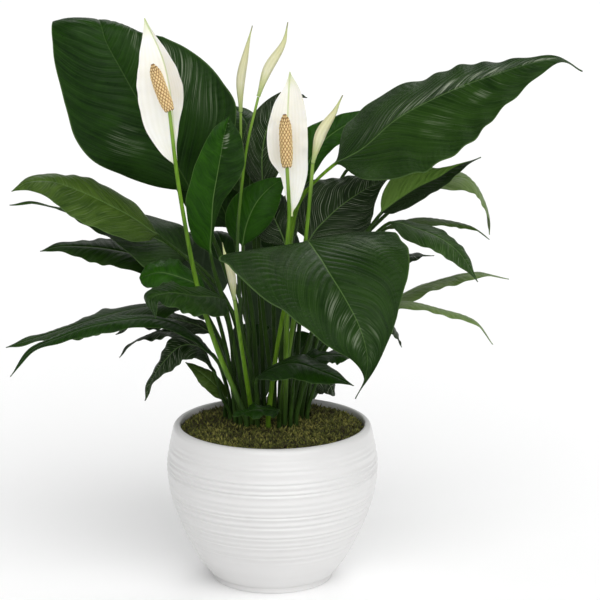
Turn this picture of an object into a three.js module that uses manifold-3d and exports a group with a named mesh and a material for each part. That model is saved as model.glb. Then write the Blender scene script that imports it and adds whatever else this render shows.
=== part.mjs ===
// A potted peace lily: a white ceramic bowl filled with soil and moss, a clump of long-stalked
// leaves, two open flowers and four rolled buds. Millimetres, +Z up, origin at the centre of
// the pot's foot, the viewer's side towards -Y.

import * as THREE from 'three';
import { mergeVertices } from 'three/addons/utils/BufferGeometryUtils.js';
import Module from 'manifold-3d';

const wasm = await Module();
wasm.setup();

// ---------------------------------------------------------------- driving dimensions

const POT_HEIGHT = 160;
const POT_SEGMENTS = 28;
const POT_WALL = 7.5;
const POT_FLOOR = 8;
const RIM_TOP_RADIUS = 95.5;
const RIM_INNER_RADIUS = 92;
const RIM_ROUND = [98.2, 158];
const RIM_BEVEL = 0.5; // on the rim's inner corner
const SHOULDER_INNER_RADIUS = 97.5; // the wall thickens from here up to the rim
const SHOULDER_Z = 125;
const LIP_Z = 155;
const FLOOR_ROUND = 8; // between the inner wall's lowest point and the flat of the floor
const SIDE_SAMPLES = 160;
// outer radius and height along the pot's side, without the throwing ridges
const POT_FOOT = [[60.8, 0], [59.8, 5], [64.0, 8]];
const POT_SIDE = [
  [64.0, 8], [76.1, 25], [86.3, 45], [94.9, 65], [101.1, 85],
  [105.0, 105], [105.0, 125], [101.7, 145], [99.6, 155],
];
const RIDGE_FIRST_Z = 36;
const RIDGE_LAST_Z = 150;
const RIDGE_COUNT = 20;
const RIDGE_RELIEF = 0.7;

// heights of the points along the pot's inner wall, and of those below and above the ridges
const WALL_Z = [150, 125, 90, 50, 14];
const LOW_SIDE_Z = [17, 26];
const HIGH_SIDE_Z = [150, 155];

const GAP = 0.4; // between pieces that rest against each other
const BUD_GAP = 0.7; // between a bud and the slanted end of its stem
const SOIL_EDGE_Z = 147;
const MOSS_EDGE_Z = 154;
const MOSS_CROWN_Z = 157;
const MOSS_RINGS = 5;
const MOSS_BUMP = 1.5;
const MOSS_WAVE_X = 0.31; // radians of the low humps per millimetre
const MOSS_WAVE_Y = 0.27;
const MOSS_WAVE_SKEW = 0.4;
const MOSS_WAVE_START = 1.3;

const CLUMP_X = -4;
const CLUMP_Y = 25;
const CLUMP_RADIUS = 50; // the moss leaves this much free round the stems
const CLUMP_TOP_Z = 157;
const CLUMP_EDGE_Z = 152;
const CLUMP_ROOT_Z = 130;
const CLUMP_SHOULDER = 8;
const CLUMP_SIDES = 20;
const STEM_PITCH = 11; // seats of the stems, in staggered rows
const STEM_ROW = 9.5;

const SEAT_BOTTOM_Z = 139;
const SEAT_TOP_Z = 158;
const STEM_UPRIGHT_Z = 165; // stems stand upright up to here
const SEAT_SIDES = 6;
const WELD_DISTANCE = 1e-3;

const STALK_FOOT_RADIUS = 2.8;
const STALK_NECK_RADIUS = 1.7;
const BLADE_THICKNESS = 0.9;
const TIP_HALF_WIDTH = 0.6;
const FOLD_LIMIT = 2.3; // radians that a folded-over blade turns
const NECK_SHARE = 0.06; // share of the blade over which the round stalk flattens
const MIDDLE_SHARE = 0.45; // where along the blade its face is measured
const FULL_FOLD_SHARE = 0.4; // where along the blade its fold is no longer that of the neck
const EDGE_OFFSET = 0.6 * Math.PI; // between the waves of the two edges
const NECK_KEEL_SHARE = 1.6; // depth of the rib under the neck, as a share of the stalk's radius
const TIP_KEEL = 0.3;
const STALK_LEAN_SHARE = 0.3; // of the way out to the neck, where a usual stalk bends
const STALK_RISE_SHARE = 0.55; // of the way up to it

const FLOWER_STEM_RADIUS = 2.8;
const STEM_RING_SIDES = 8;
const SPADIX_SIDES = 12;
const SPADIX_RINGS = 17;
const SPADIX_BUMP = 0.45;
const SPADIX_RADIUS = 6.2;
const SPADIX_FLATNESS = 4; // the power of the spike's blunt outline
const SPADIX_LENGTH_SPAN = 1.9; // of that outline, whose middle is at the span's share below
const SPADIX_SPAN_BEFORE = 0.85;
const SPADIX_END_AREA = 0.12; // share of the section left at the ends
const BUD_FOOT_RADIUS = 1.9;
const BUD_WIDEST_SHARE = 0.4;
const BUD_TIP_SHARE = 0.12; // of the bud's radius
const STEM_RINGS = 7;
const BUD_RINGS = 9;

// ---------------------------------------------------------------- the plant's measures

// A leaf has a seat in the clump, points of its stalk if it bends in its own way, its rib from
// the neck to the tip, the way its upper face looks at mid length, and its blade's full width,
// or the half widths to the left and right of the rib at even steps from the neck to the tip.
// foldOver bends what would stand above a height backward, round a level fold.
const BLADE = {
  columns: 3, // points across the upper face
  rings: 7, // along the blade
  stalkRings: 4,
  fold: 0.1, // rise of the edges over the rib, as a share of the half width
  neckFold: undefined, // the same at the neck, where it differs
  arch: 0.3, // roundness across the blade, as a share of the half width
  ripple: 2.5, // height of the waves along the edges
  waves: 2.5,
  phase: 0,
  rise: 0.7, // how fast the outline widens from the neck
  taper: 1.1, // how fast it narrows towards the tip
  lean: 0, // how much wider than its left the right half is at the neck, and its left at the tip
  neckRadius: STALK_NECK_RADIUS,
};
const BIG = { columns: 5, rings: 11, ripple: 6 };
const BACK = { columns: 5, rings: 7, ripple: 6 };
const SPATHE = { columns: 5, rings: 9, fold: 0.35, arch: 0, ripple: 1 };

const LEAVES = {
  leaf_01: {
    seat: [-1, 2], stalk: [[-42, 43, 290]],
    rib: [
      [-78, 38, 383], [-104, 36, 431], [-126, 36, 469], [-150, 40, 512], [-162, 43, 534],
      [-170, 45, 554], [-184, 47, 591], [-197, 48, 623],
    ],
    face: [0.05, -0.98, 0.2], ...BIG, columns: 7, ripple: 1.5,
    left: [0, 29, 52, 69, 73, 67, 60, 51, 42, 25, 0],
    right: [0, 58, 81, 82, 78, 66, 47, 36, 28, 16, 0],
    foldOver: { z: 540, y: 50, radius: 12 },
  },
  leaf_02: {
    seat: [1, -1], stalk: [[17, 4, 330], [27, -4, 385]],
    rib: [
      [59, -10, 422], [88, -12, 440], [119, -15, 468], [150, -20, 487], [204, -26, 511],
      [276, -32, 530], [298, -35, 519],
    ],
    face: [0, -0.5, 0.87], ...BIG, fold: -0.28, neckFold: 0, arch: 0.05, ripple: 1.5,
    waves: 3.5,
    left: [0, 52, 67, 67, 60, 52, 42, 29, 15, 5, 1],
    right: [0, 42, 63, 68, 65, 59, 49, 33, 18, 6, 1],
  },
  leaf_03: {
    seat: [0, -4], stalk: [[2, -18, 220], [14, -27, 290]],
    rib: [
      [33, -36, 352], [44, -60, 346], [56, -90, 333], [71, -114, 313], [84, -131, 290],
      [91, -139, 264], [89, -143, 243], [80, -144, 224],
    ],
    face: [0.2, -0.6, 0.8], ...BIG, fold: 0.2, arch: 0.1, ripple: 2,
    left: [0, 74, 83, 83, 77, 64, 47, 30, 12, 3, 0.5],
    right: [0, 93, 93, 88, 79, 67, 53, 37, 17, 2, 0.5],
  },
  leaf_04: {
    seat: [-3, 0], stalk: [[-46, 32, 260], [-76, 28, 312]],
    rib: [
      [-112, 12, 348], [-137, -2, 370], [-160, -12, 385], [-177, -18, 395], [-195, -24, 404],
      [-214, -29, 411], [-235, -34, 411], [-251, -38, 403],
    ],
    face: [0, -0.42, 0.9], width: 79, ...BIG, ripple: 1.5, lean: 0.28,
  },
  leaf_05: {
    seat: [-2, 1], stalk: [[-45, 33, 275]],
    rib: [
      [-80, 36, 318], [-118, 42, 340], [-163, 45, 356], [-212, 46, 369], [-242, 46, 375],
      [-263, 46, 373],
    ],
    face: [0, -0.4, 0.9], width: 84, fold: 0.2, taper: 3,
  },
  leaf_06: {
    seat: [-3, 1], stalk: [[-56, 42, 240]],
    rib: [
      [-98, 48, 302], [-131, 52, 318], [-164, 58, 325], [-193, 62, 327], [-217, 66, 326],
      [-236, 68, 321],
    ],
    face: [0, -0.45, 0.9], width: 43, ripple: 1.5,
  },
  leaf_07: {
    seat: [-1, -2],
    rib: [[-45, -28, 291], [-74, -62, 305], [-99, -80, 312], [-114, -88, 308], [-111, -90, 289]],
    face: [-0.1, -0.45, 0.9], width: 62, ...BIG, ripple: 2.5,
  },
  leaf_08: {
    seat: [-3, -2], rib: [[-66, -6, 297], [-90, -9, 311], [-112, -9, 316], [-131, -6, 310]],
    face: [0, -0.6, 0.8], width: 44, taper: 0.5,
  },
  leaf_09: {
    seat: [-3, -1],
    rib: [[-77, 27, 274], [-122, 27, 273], [-163, 26, 265], [-213, 25, 249], [-268, 23, 232]],
    face: [0, -0.1, 1], width: 60,
  },
  leaf_10: {
    seat: [-3, -3],
    rib: [
      [-57, -6, 228], [-86, -12, 259], [-115, -26, 273], [-147, -36, 274], [-182, -42, 268],
      [-206, -46, 260], [-234, -50, 248], [-256, -50, 221],
    ],
    face: [0, -0.2, 1], width: 32, ...BIG, ripple: 1.2,
  },
  leaf_11: {
    seat: [2, 0], stalk: [[12, 24, 271]],
    rib: [[13, 26, 335], [4, 32, 358], [-4, 38, 378], [-14, 44, 395]], face: [0, -0.9, 0.4], width: 46,
    fold: 0.15,
  },
  leaf_12: {
    seat: [-3, 2], rib: [[-62, 60, 236], [-100, 68, 250], [-136, 76, 246], [-162, 80, 231]],
    face: [0, -0.3, 1], width: 34,
  },
  leaf_13: {
    seat: [-4, 1],
    rib: [[-60, 40, 219], [-104, 50, 241], [-135, 55, 233], [-149, 55, 223], [-157, 55, 213]],
    face: [0, -0.1, 1], width: 26,
  },
  leaf_14: {
    seat: [-4, -1], stalk: [[-50, 12, 182]],
    rib: [
      [-58, 8, 210], [-72, 10, 235], [-91, 12, 236], [-109, 14, 219], [-122, 15, 199], [-129, 15, 178],
    ],
    face: [-0.3, -0.6, 0.7], width: 36, rise: 0.4,
  },
  leaf_15: {
    seat: [-4, 0], rib: [[-47, 21, 177], [-53, 20, 188], [-67, 20, 202], [-87, 20, 217]],
    face: [0.3, -0.7, 0.6], width: 21, ripple: 1,
  },
  leaf_16: {
    seat: [-2, -2], stalk: [[-44, -2, 270]],
    rib: [
      [-60, -10, 334], [-59, -12, 360], [-57, -13, 390], [-53, -13, 413], [-49, -12, 435],
      [-45, -8, 456], [-41, -4, 470],
    ],
    face: [0.1, -0.98, 0.1], ...BIG, fold: 0.3, arch: 0.1, ripple: 1,
    left: [0, 16, 22, 25, 27, 25, 24, 21, 17, 11, 0.5],
    right: [0, 2, 3, 6, 10, 16, 22, 24, 20, 14, 0.5],
  },
  leaf_17: {
    seat: [0, 3], rib: [[0, 95, 305], [0, 120, 338], [-2, 150, 322], [-4, 174, 258], [-6, 184, 180]],
    face: [0, 0.6, 0.8], width: 64, ...BACK, taper: 0.6,
  },
  leaf_18: {
    seat: [-1, 0], rib: [[-29, 20, 336], [-24, 20, 362], [-14, 21, 382], [0, 25, 396], [16, 30, 405]],
    face: [-0.2, -0.95, 0.2], width: 46, ripple: 1, lean: -0.3,
  },
  leaf_19: {
    seat: [0, 1], stalk: [[-14, 52, 320]],
    rib: [[-10, 56, 386], [-10, 60, 423], [-4, 64, 450], [10, 70, 471], [23, 74, 480], [35, 76, 477]],
    face: [0.1, -0.85, 0.5], width: 42,
  },
  leaf_20: {
    seat: [-1, 3], rib: [[-23, 78, 374], [-23, 93, 414], [-27, 113, 444], [-42, 143, 459]],
    face: [0, -0.8, 0.6], width: 64,
  },
  leaf_21: {
    seat: [1, 2], rib: [[28, 88, 378], [36, 92, 406], [50, 97, 427], [76, 104, 445], [114, 114, 458]],
    face: [0.1, -0.85, 0.5],
    left: [0, 14, 21, 24, 23, 20, 16, 12, 8, 4, 0.5],
    right: [0, 8, 10, 11, 12, 13, 13, 11, 8, 4, 0.5],
  },
  leaf_22: {
    seat: [2, 1], rib: [[36, 36, 336], [58, 48, 362], [86, 58, 382], [120, 70, 399]],
    face: [0, -0.7, 0.7], ...BIG, ripple: 1.5,
    left: [0, 40, 55, 55, 49, 41, 32, 24, 15, 7, 0.5],
    right: [0, 30, 42, 46, 44, 38, 30, 20, 11, 5, 0.5],
  },
  leaf_23: {
    seat: [2, -1],
    rib: [
      [107, 20, 368], [118, 20, 378], [143, 20, 395], [165, 20, 406], [180, 20, 416], [206, 20, 426],
    ],
    face: [0, -0.6, 0.8], ...BIG, fold: 0.2, arch: 0.1, ripple: 0.8,
    left: [0, 15, 24, 26, 24, 20, 13, 5, 1, 0.5, 0.5],
    right: [0, 12, 16, 18, 18, 17, 15, 12, 9, 4, 0.5],
  },
  leaf_24: {
    seat: [3, 1], stalk: [[60, 45, 296], [118, 58, 364]],
    rib: [
      [152, 62, 389], [170, 64, 395], [191, 66, 397], [204, 70, 389], [213, 73, 375], [219, 76, 357],
      [221, 76, 336],
    ],
    face: [-0.1, -0.3, 1], width: 42, ripple: 0.8,
  },
  leaf_25: {
    seat: [2, -2],
    rib: [[116, 12, 361], [142, 2, 358], [166, -8, 350], [184, -14, 337], [203, -16, 308]],
    face: [0.2, -0.3, 1], width: 46, ripple: 1,
  },
  leaf_26: {
    seat: [3, 0],
    rib: [
      [112, 34, 350], [128, 34, 357], [148, 38, 360], [169, 42, 358], [186, 48, 354], [203, 52, 348],
      [219, 56, 336],
    ],
    face: [0, 0, 1], width: 34, ripple: 0.6,
  },
  leaf_27: {
    seat: [2, 2], rib: [[84, 70, 300], [130, 85, 311], [165, 90, 312]], face: [0, -0.1, 1], width: 28,
  },
  leaf_28: {
    seat: [3, -1], rib: [[88, 30, 255], [131, 30, 283], [163, 30, 297], [203, 30, 306], [237, 30, 301]],
    face: [0, 0, 1], width: 44, ripple: 1.5,
  },
  leaf_29: {
    seat: [2, -3],
    rib: [[82, -18, 281], [128, -27, 290], [165, -32, 284], [199, -37, 273], [217, -40, 251]],
    face: [0, 0.1, 1], width: 36, ripple: 1,
  },
  leaf_30: {
    seat: [3, 2], rib: [[90, 62, 259], [117, 72, 250], [133, 77, 218]], face: [0.2, -0.3, 1], width: 28,
  },
  leaf_31: {
    seat: [-1, -4],
    rib: [[-14, -38, 216], [4, -46, 230], [24, -56, 236], [52, -65, 229], [80, -72, 218]],
    face: [0, -0.3, 1], width: 48, ripple: 1.2,
  },
  leaf_32: {
    seat: [2, -4], rib: [[24, -34, 219], [44, -32, 236], [66, -24, 236], [84, -20, 230]],
    face: [0, -0.3, 1], width: 32,
  },
  leaf_33: {
    seat: [2, 3], rib: [[32, 60, 178], [44, 62, 185], [57, 66, 182], [64, 70, 168]],
    face: [0, -0.9, 0.4], width: 26, ripple: 1, rise: 0.6, taper: 0.7,
  },
  leaf_34: {
    seat: [1, -4], rib: [[6, -32, 181], [-14, -43, 186], [-39, -48, 181]], face: [0, -0.3, 1], width: 24,
  },
  leaf_35: {
    seat: [-2, 3],
    rib: [[-42, 90, 338], [-62, 102, 378], [-92, 120, 418], [-130, 143, 446], [-165, 165, 452]],
    face: [-0.2, -0.6, 0.8], width: 64, ...BACK, rise: 0.5,
  },
  leaf_36: {
    seat: [1, 3], rib: [[74, 105, 395], [120, 125, 430], [167, 145, 450], [213, 165, 440]],
    face: [0.3, 0.3, 0.9], width: 80, ...BACK,
  },
  leaf_37: {
    seat: [1, 4], rib: [[18, 100, 263], [41, 124, 296], [59, 152, 280], [68, 174, 235], [68, 184, 186]],
    face: [0.3, 0.6, 0.8], width: 66, ...BACK, taper: 0.6,
  },
  leaf_38: {
    seat: [-1, 4],
    rib: [[-46, 95, 300], [-58, 118, 330], [-69, 142, 318], [-75, 158, 272], [-75, 166, 225]],
    face: [-0.1, 0.6, 0.8], width: 60, ...BACK, taper: 0.7,
  },
  leaf_39: {
    seat: [0, 4], rib: [[18, 82, 208], [24, 102, 228], [29, 120, 214], [31, 130, 176], [31, 133, 138]],
    face: [0, 0.6, 0.8], width: 50, ...BACK, taper: 0.6,
  },
  leaf_40: {
    seat: [-3, 3],
    rib: [[-18, 84, 214], [-20, 104, 236], [-21, 122, 222], [-21, 132, 182], [-20, 135, 138]],
    face: [0, 0.6, 0.8], width: 48, ripple: 1.5, taper: 0.6,
  },
};

// Flowers and buds: the stem's seat and the points above it, then the pieces at its end.
const FLOWERS = {
  flower_1: {
    seat: [-2, -4],
    stem: [[-54, -19, 240], [-73, -19, 304], [-87, -30, 387], [-92, -38, 428], [-97, -46, 482]],
    spathe: {
      rib: [[-92, -32.7, 424], [-94, -30, 461], [-97, -29, 498], [-104, -28, 530], [-121, -25, 568]],
      face: [-0.4, -0.9, 0.1],
      left: [0, 12.5, 22, 27, 29, 30, 29, 24, 18, 9, 0.5],
      right: [0, 2, 4, 7.5, 13.5, 18, 16, 11, 6.5, 3.5, 0.5],
    },
    spadix: [[-97, -46, 483], [-105, -47, 504], [-112, -47, 526]],
  },
  flower_2: {
    seat: [1, -3], stem: [[15, -12, 268], [15, -14, 344], [17, -16, 374], [15, -21, 423]],
    spathe: {
      rib: [[19.3, -13.8, 373], [17, -4, 407], [15, -3, 439], [16, -4, 478], [18, -8, 514]],
      face: [0.05, -1, 0.1],
      left: [0, 3.5, 6, 9, 17, 19.5, 19.5, 17, 13, 4.5, 0.5],
      right: [0, 8.5, 14.5, 18.5, 19.5, 20, 19.5, 18, 15, 9.5, 0.5],
    },
    spadix: [[15, -21, 424], [14, -22, 450], [13, -23, 474]],
  },
};

const BUDS = {
  bud_1: {
    seat: [-2, -1], stem: [[-31, 40, 379], [-31, 40, 467]],
    roll: [[-31, 40, 499], [-25, 40, 529], [-19, 40, 553]], radius: 4.2,
  },
  bud_2: {
    seat: [-2, 0], stem: [[-34, 2, 341], [-31, 2, 386], [-24, 2, 441], [-13, 2, 488]],
    roll: [[-4, 2, 515], [12, 2, 542], [16, 2, 561]], radius: 4.6,
  },
  bud_3: {
    seat: [1, -2], stem: [[33, -12, 349], [38, -12, 399], [40, -12, 425]],
    roll: [[48, -12, 455], [61, -12, 476], [69, -12, 492]], radius: 5.2,
  },
  bud_4: {
    seat: [-2, -3], stem: [[-32, -44, 266], [-36, -49, 297]],
    roll: [[-39, -52, 323], [-44, -55, 341], [-47, -57, 356]], radius: 3.8,
  },
};

// ---------------------------------------------------------------- materials

const finish = (color, roughness) => new THREE.MeshStandardMaterial({ color, roughness, metalness: 0 });
const glaze = finish(0xe6e4e0, 0.25);
const soilMatter = finish(0x3a2a1c, 0.95);
const mossMatter = finish(0x6b6a35, 0.95);
const leafGreen = finish(0x2c5c22, 0.35);
const stemGreen = finish(0x6f9a3c, 0.45);
const spatheWhite = finish(0xf1eedf, 0.5);
const spadixCream = finish(0xe8d9a8, 0.7);

// ---------------------------------------------------------------- shared geometry

const vector = (point) => new THREE.Vector3(...point);
const mix = THREE.MathUtils.lerp;
const smooth = THREE.MathUtils.smoothstep;

// the place of a stem's seat in the staggered rows of the clump
function seatPlace([column, row]) {
  const stagger = row % 2 === 0 ? 0 : STEM_PITCH / 2;
  return [CLUMP_X + column * STEM_PITCH + stagger, CLUMP_Y + row * STEM_ROW];
}

// the three points that keep a stem upright in its seat
function seatPoints(seat) {
  const [x, y] = seatPlace(seat);
  return [[x, y, SEAT_BOTTOM_Z], [x, y, SEAT_TOP_Z], [x, y, STEM_UPRIGHT_Z]];
}

// A smooth curve through the points, with the length run at each of them.
const STEPS_PER_SPAN = 24;
const TANGENT_STEPS = 200;
function makeTrack(points) {
  const curve = new THREE.CatmullRomCurve3(points.map(vector), false, 'centripetal');
  const steps = (points.length - 1) * STEPS_PER_SPAN;
  const places = Array.from({ length: steps + 1 }, (_, i) => curve.getPoint(i / steps));
  const lengths = [0];
  for (let i = 1; i <= steps; i += 1) lengths.push(lengths[i - 1] + places[i].distanceTo(places[i - 1]));
  const locate = (length) => {
    let i = 1;
    while (i < steps && lengths[i] < length) i += 1;
    const share = (length - lengths[i - 1]) / (lengths[i] - lengths[i - 1]);
    return { i, share };
  };
  return {
    total: lengths[steps],
    lengthAt: (index) => lengths[index * STEPS_PER_SPAN],
    pointAt(length) {
      const { i, share } = locate(length);
      return places[i - 1].clone().lerp(places[i], share);
    },
    tangentAt(length) {
      const reach = lengths[steps] / TANGENT_STEPS;
      const after = this.pointAt(Math.min(length + reach, lengths[steps]));
      return after.sub(this.pointAt(Math.max(length - reach, 0))).normalize();
    },
  };
}

// the part of a direction square to the tangent, at unit length
const squareTo = (direction, tangent) => direction.clone()
  .addScaledVector(tangent, -direction.dot(tangent)).normalize();

// One closed body through rings of equal count. A ring runs along the lower face and back
// along the upper one, and both faces are split into triangles alike.
function loft(rings) {
  const count = rings[0].length;
  const half = count / 2;
  const positions = rings.flat().flatMap((p) => [p.x, p.y, p.z]);
  const at = (ring, k) => ring * count + (k % count);
  const faces = [];
  for (let i = 0; i + 1 < rings.length; i += 1) {
    for (let k = 0; k < count; k += 1) {
      const [a, b, c, d] = [at(i, k), at(i + 1, k), at(i + 1, k + 1), at(i, k + 1)];
      if (k < half) faces.push(a, b, c, a, c, d);
      else faces.push(a, b, d, b, c, d);
    }
  }
  const last = rings.length - 1;
  for (let k = 0; k + 1 < half; k += 1) {
    const [low, lowNext] = [k, k + 1];
    const [high, highNext] = [count - 1 - k, count - 2 - k];
    faces.push(at(0, low), at(0, lowNext), at(0, highNext), at(0, low), at(0, highNext), at(0, high));
    faces.push(at(last, low), at(last, highNext), at(last, lowNext));
    faces.push(at(last, low), at(last, high), at(last, highNext));
  }
  const geometry = new THREE.BufferGeometry();
  geometry.setAttribute('position', new THREE.Float32BufferAttribute(positions, 3));
  geometry.setIndex(faces);
  geometry.computeVertexNormals();
  return geometry;
}

// A ring of a tube, its first point on the left of the side direction.
function roundRing(centre, side, up, radius, sides, bumps = () => 0) {
  return Array.from({ length: sides }, (_, k) => {
    const angle = Math.PI + (k + 0.5) * 2 * Math.PI / sides;
    const reach = radius + bumps(k);
    return centre.clone().addScaledVector(side, reach * Math.cos(angle))
      .addScaledVector(up, reach * Math.sin(angle));
  });
}

// A tube along points: rings at the given shares of its length, each with its own radius.
function tube(points, shares, radiusAt, sides, bumpAt = () => 0) {
  const track = makeTrack(points);
  let side = new THREE.Vector3(1, 0, 0);
  return loft(shares.map((share, ring) => {
    const length = share * track.total;
    const tangent = track.tangentAt(length);
    side = squareTo(side, tangent);
    const up = side.clone().cross(tangent);
    return roundRing(track.pointAt(length), side, up, radiusAt(share), sides, (k) => bumpAt(ring, k));
  }));
}

const evenShares = (count) => Array.from({ length: count + 1 }, (_, i) => i / count);

// The shares of a stem's length for its rings: the foot, the top of its seat and the start of
// its lean, then even steps.
function stemShares(points, count) {
  const track = makeTrack(points);
  const start = track.lengthAt(2) / track.total;
  const rest = evenShares(count).map((share) => mix(start, 1, share));
  return [0, track.lengthAt(1) / track.total, ...rest];
}

// ---------------------------------------------------------------- leaves

// a smooth reading of half widths that are given at even steps
function outlineAt(widths, q) {
  const place = q * (widths.length - 1);
  const i = Math.min(Math.floor(place), widths.length - 2);
  const t = place - i;
  const [b, c] = [widths[i], widths[i + 1]];
  const [a, d] = [widths[i - 1] ?? b, widths[i + 2] ?? c];
  const [start, end] = [(c - a) / 2, (d - b) / 2];
  const square = 3 * (c - b) - 2 * start - end;
  return b + start * t + square * t ** 2 + (2 * (b - c) + start + end) * t ** 3;
}

// half the blade's width at q, from 0 at the neck to 1 at the tip, on the side that s is on
function halfWidth(leaf, q, s) {
  if (leaf.left) return Math.max(TIP_HALF_WIDTH, outlineAt(s < 0 ? leaf.left : leaf.right, q));
  const widest = leaf.rise / (leaf.rise + leaf.taper);
  const outline = (q / widest) ** leaf.rise * ((1 - q) / (1 - widest)) ** leaf.taper;
  return Math.max(TIP_HALF_WIDTH, leaf.width / 2 * outline);
}

// height of the upper face over the rib, at s from -1 at the left edge to 1 at the right one
function bladeHeight(leaf, q, s) {
  const half = halfWidth(leaf, q, s);
  const fold = mix(leaf.neckFold ?? leaf.fold, leaf.fold, smooth(q, 0, FULL_FOLD_SHARE));
  const dish = half * (fold * Math.abs(s) - leaf.arch * s * s);
  const offset = s < 0 ? EDGE_OFFSET : 0;
  const wave = Math.sin(2 * Math.PI * leaf.waves * q + leaf.phase + offset);
  return dish + leaf.ripple * s * s * wave * Math.sqrt(Math.max(0, Math.sin(Math.PI * q)));
}

function bladeRing(leaf, centre, side, up, q) {
  const columns = leaf.columns;
  const spread = 90 - 90 / columns; // degrees between the top of the stalk and its last point
  const flat = smooth(q, 0, NECK_SHARE);
  const point = (s, upper) => {
    const half = halfWidth(leaf, q, s);
    const angle = THREE.MathUtils.degToRad(90 - s * spread);
    const roundX = leaf.neckRadius * Math.cos(angle);
    const roundZ = leaf.neckRadius * Math.sin(angle) * (upper ? 1 : -1);
    const keel = s === 0 ? mix(NECK_KEEL_SHARE * leaf.neckRadius, TIP_KEEL, Math.sqrt(q)) : 0;
    const height = bladeHeight(leaf, q, s);
    const bladeZ = upper ? height : height - BLADE_THICKNESS - keel;
    const reach = s * half * (1 + leaf.lean * s * (1 - 2 * q));
    return centre.clone().addScaledVector(side, mix(roundX, reach, flat))
      .addScaledVector(up, mix(roundZ, bladeZ, flat));
  };
  const across = evenShares(columns - 1).map((share) => share * 2 - 1);
  return [...across.map((s) => point(s, false)), ...across.reverse().map((s) => point(s, true))];
}

// the rings of a blade whose rib begins at the given point of its track
function bladeRings(leaf, track, neckIndex) {
  const neck = track.lengthAt(neckIndex);
  const blade = track.total - neck;
  const across = track.tangentAt(neck + MIDDLE_SHARE * blade).cross(vector(leaf.face));
  const shares = [0, NECK_SHARE];
  for (let i = 1; i <= leaf.rings; i += 1) shares.push(mix(NECK_SHARE, 1, i / leaf.rings));
  const rings = shares.map((q) => {
    const tangent = track.tangentAt(neck + q * blade);
    const side = squareTo(across, tangent);
    const up = side.clone().cross(tangent);
    return { side, ring: bladeRing(leaf, track.pointAt(neck + q * blade), side, up, q) };
  });
  return { rings: rings.map((r) => r.ring), neckSide: rings[0].side };
}

// the rings of a leaf's stalk, from its foot up to just below the neck
function stalkRings(leaf, track, neckIndex, neckSide) {
  const lean = track.lengthAt(2);
  const neck = track.lengthAt(neckIndex);
  const lengths = [0, track.lengthAt(1)];
  for (let i = 0; i < leaf.stalkRings; i += 1) lengths.push(mix(lean, neck, i / leaf.stalkRings));
  let side = neckSide;
  return lengths.reverse().map((length) => {
    const tangent = track.tangentAt(length);
    side = squareTo(side, tangent);
    const up = side.clone().cross(tangent);
    const radius = mix(STALK_FOOT_RADIUS, leaf.neckRadius, length / neck);
    return bladeRing({ ...leaf, neckRadius: radius }, track.pointAt(length), side, up, 0);
  }).reverse();
}

// the stalk's own bend, where a leaf states none: upright at first, then out to the neck
function usualStalk(seat, neck) {
  const [x, y] = seatPlace(seat);
  const across = STALK_LEAN_SHARE;
  return [[mix(x, neck[0], across), mix(y, neck[1], across), mix(SEAT_TOP_Z, neck[2], STALK_RISE_SHARE)]];
}

// bends a point above the fold backward round a level axis behind the blade
function bendBack(point, { z, y, radius }) {
  const rise = point.z - z;
  if (rise <= 0) return;
  const reach = y + radius - point.y;
  const turn = Math.min(rise / radius, FOLD_LIMIT);
  const beyond = rise - turn * radius;
  point.y = y + radius - reach * Math.cos(turn) + beyond * Math.sin(turn);
  point.z = z + reach * Math.sin(turn) + beyond * Math.cos(turn);
}

function leafGeometry(measures) {
  const leaf = { ...BLADE, ...measures };
  const stalk = leaf.stalk ?? usualStalk(leaf.seat, leaf.rib[0]);
  const points = [...seatPoints(leaf.seat), ...stalk, ...leaf.rib];
  const neckIndex = points.length - leaf.rib.length;
  const track = makeTrack(points);
  const { rings, neckSide } = bladeRings(leaf, track, neckIndex);
  if (leaf.foldOver) rings.flat().forEach((point) => bendBack(point, leaf.foldOver));
  return loft([...stalkRings(leaf, track, neckIndex, neckSide), ...rings]);
}

// ---------------------------------------------------------------- flowers

function flowerStem(points) {
  const taper = (share) => mix(FLOWER_STEM_RADIUS, STALK_NECK_RADIUS, share);
  return tube(points, stemShares(points, STEM_RINGS), taper, STEM_RING_SIDES);
}

function spatheGeometry(measures) {
  const spathe = { ...BLADE, ...SPATHE, ...measures };
  return loft(bladeRings(spathe, makeTrack(spathe.rib), 0).rings);
}

// a blunt spike whose florets stand out in staggered rows
function spadixGeometry(points) {
  const area = (share) => 1 - (SPADIX_LENGTH_SPAN * share - SPADIX_SPAN_BEFORE) ** SPADIX_FLATNESS;
  const radius = (share) => SPADIX_RADIUS * Math.sqrt(Math.max(SPADIX_END_AREA, area(share)));
  const floret = (ring, k) => SPADIX_BUMP * ((ring + k) % 2 === 0 ? 1 : -1);
  return tube(points, evenShares(SPADIX_RINGS), radius, SPADIX_SIDES, floret);
}

// a spathe still rolled into a spindle with a thin tip
function rollGeometry(bud) {
  const start = vector(bud.stem.at(-1));
  const first = vector(bud.roll[0]).sub(start).normalize().multiplyScalar(BUD_GAP).add(start);
  const radius = (share) => mix(BUD_FOOT_RADIUS, bud.radius, smooth(share, 0, BUD_WIDEST_SHARE))
    * mix(1, BUD_TIP_SHARE, smooth(share, BUD_WIDEST_SHARE, 1));
  return tube([first.toArray(), ...bud.roll], evenShares(BUD_RINGS), radius, STEM_RING_SIDES);
}

// ---------------------------------------------------------------- pot, soil and moss

const potCurve = new THREE.SplineCurve(POT_SIDE.map(([r, z]) => new THREE.Vector2(r, z)));

// the pot's outer radius at a height, without the ridges
function potRadius(z) {
  const samples = potCurve.getPoints(SIDE_SAMPLES);
  const i = Math.max(1, samples.findIndex((p) => p.y >= z));
  const [a, b] = [samples[i - 1], samples[i]];
  return mix(a.x, b.x, (z - a.y) / (b.y - a.y));
}

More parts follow.
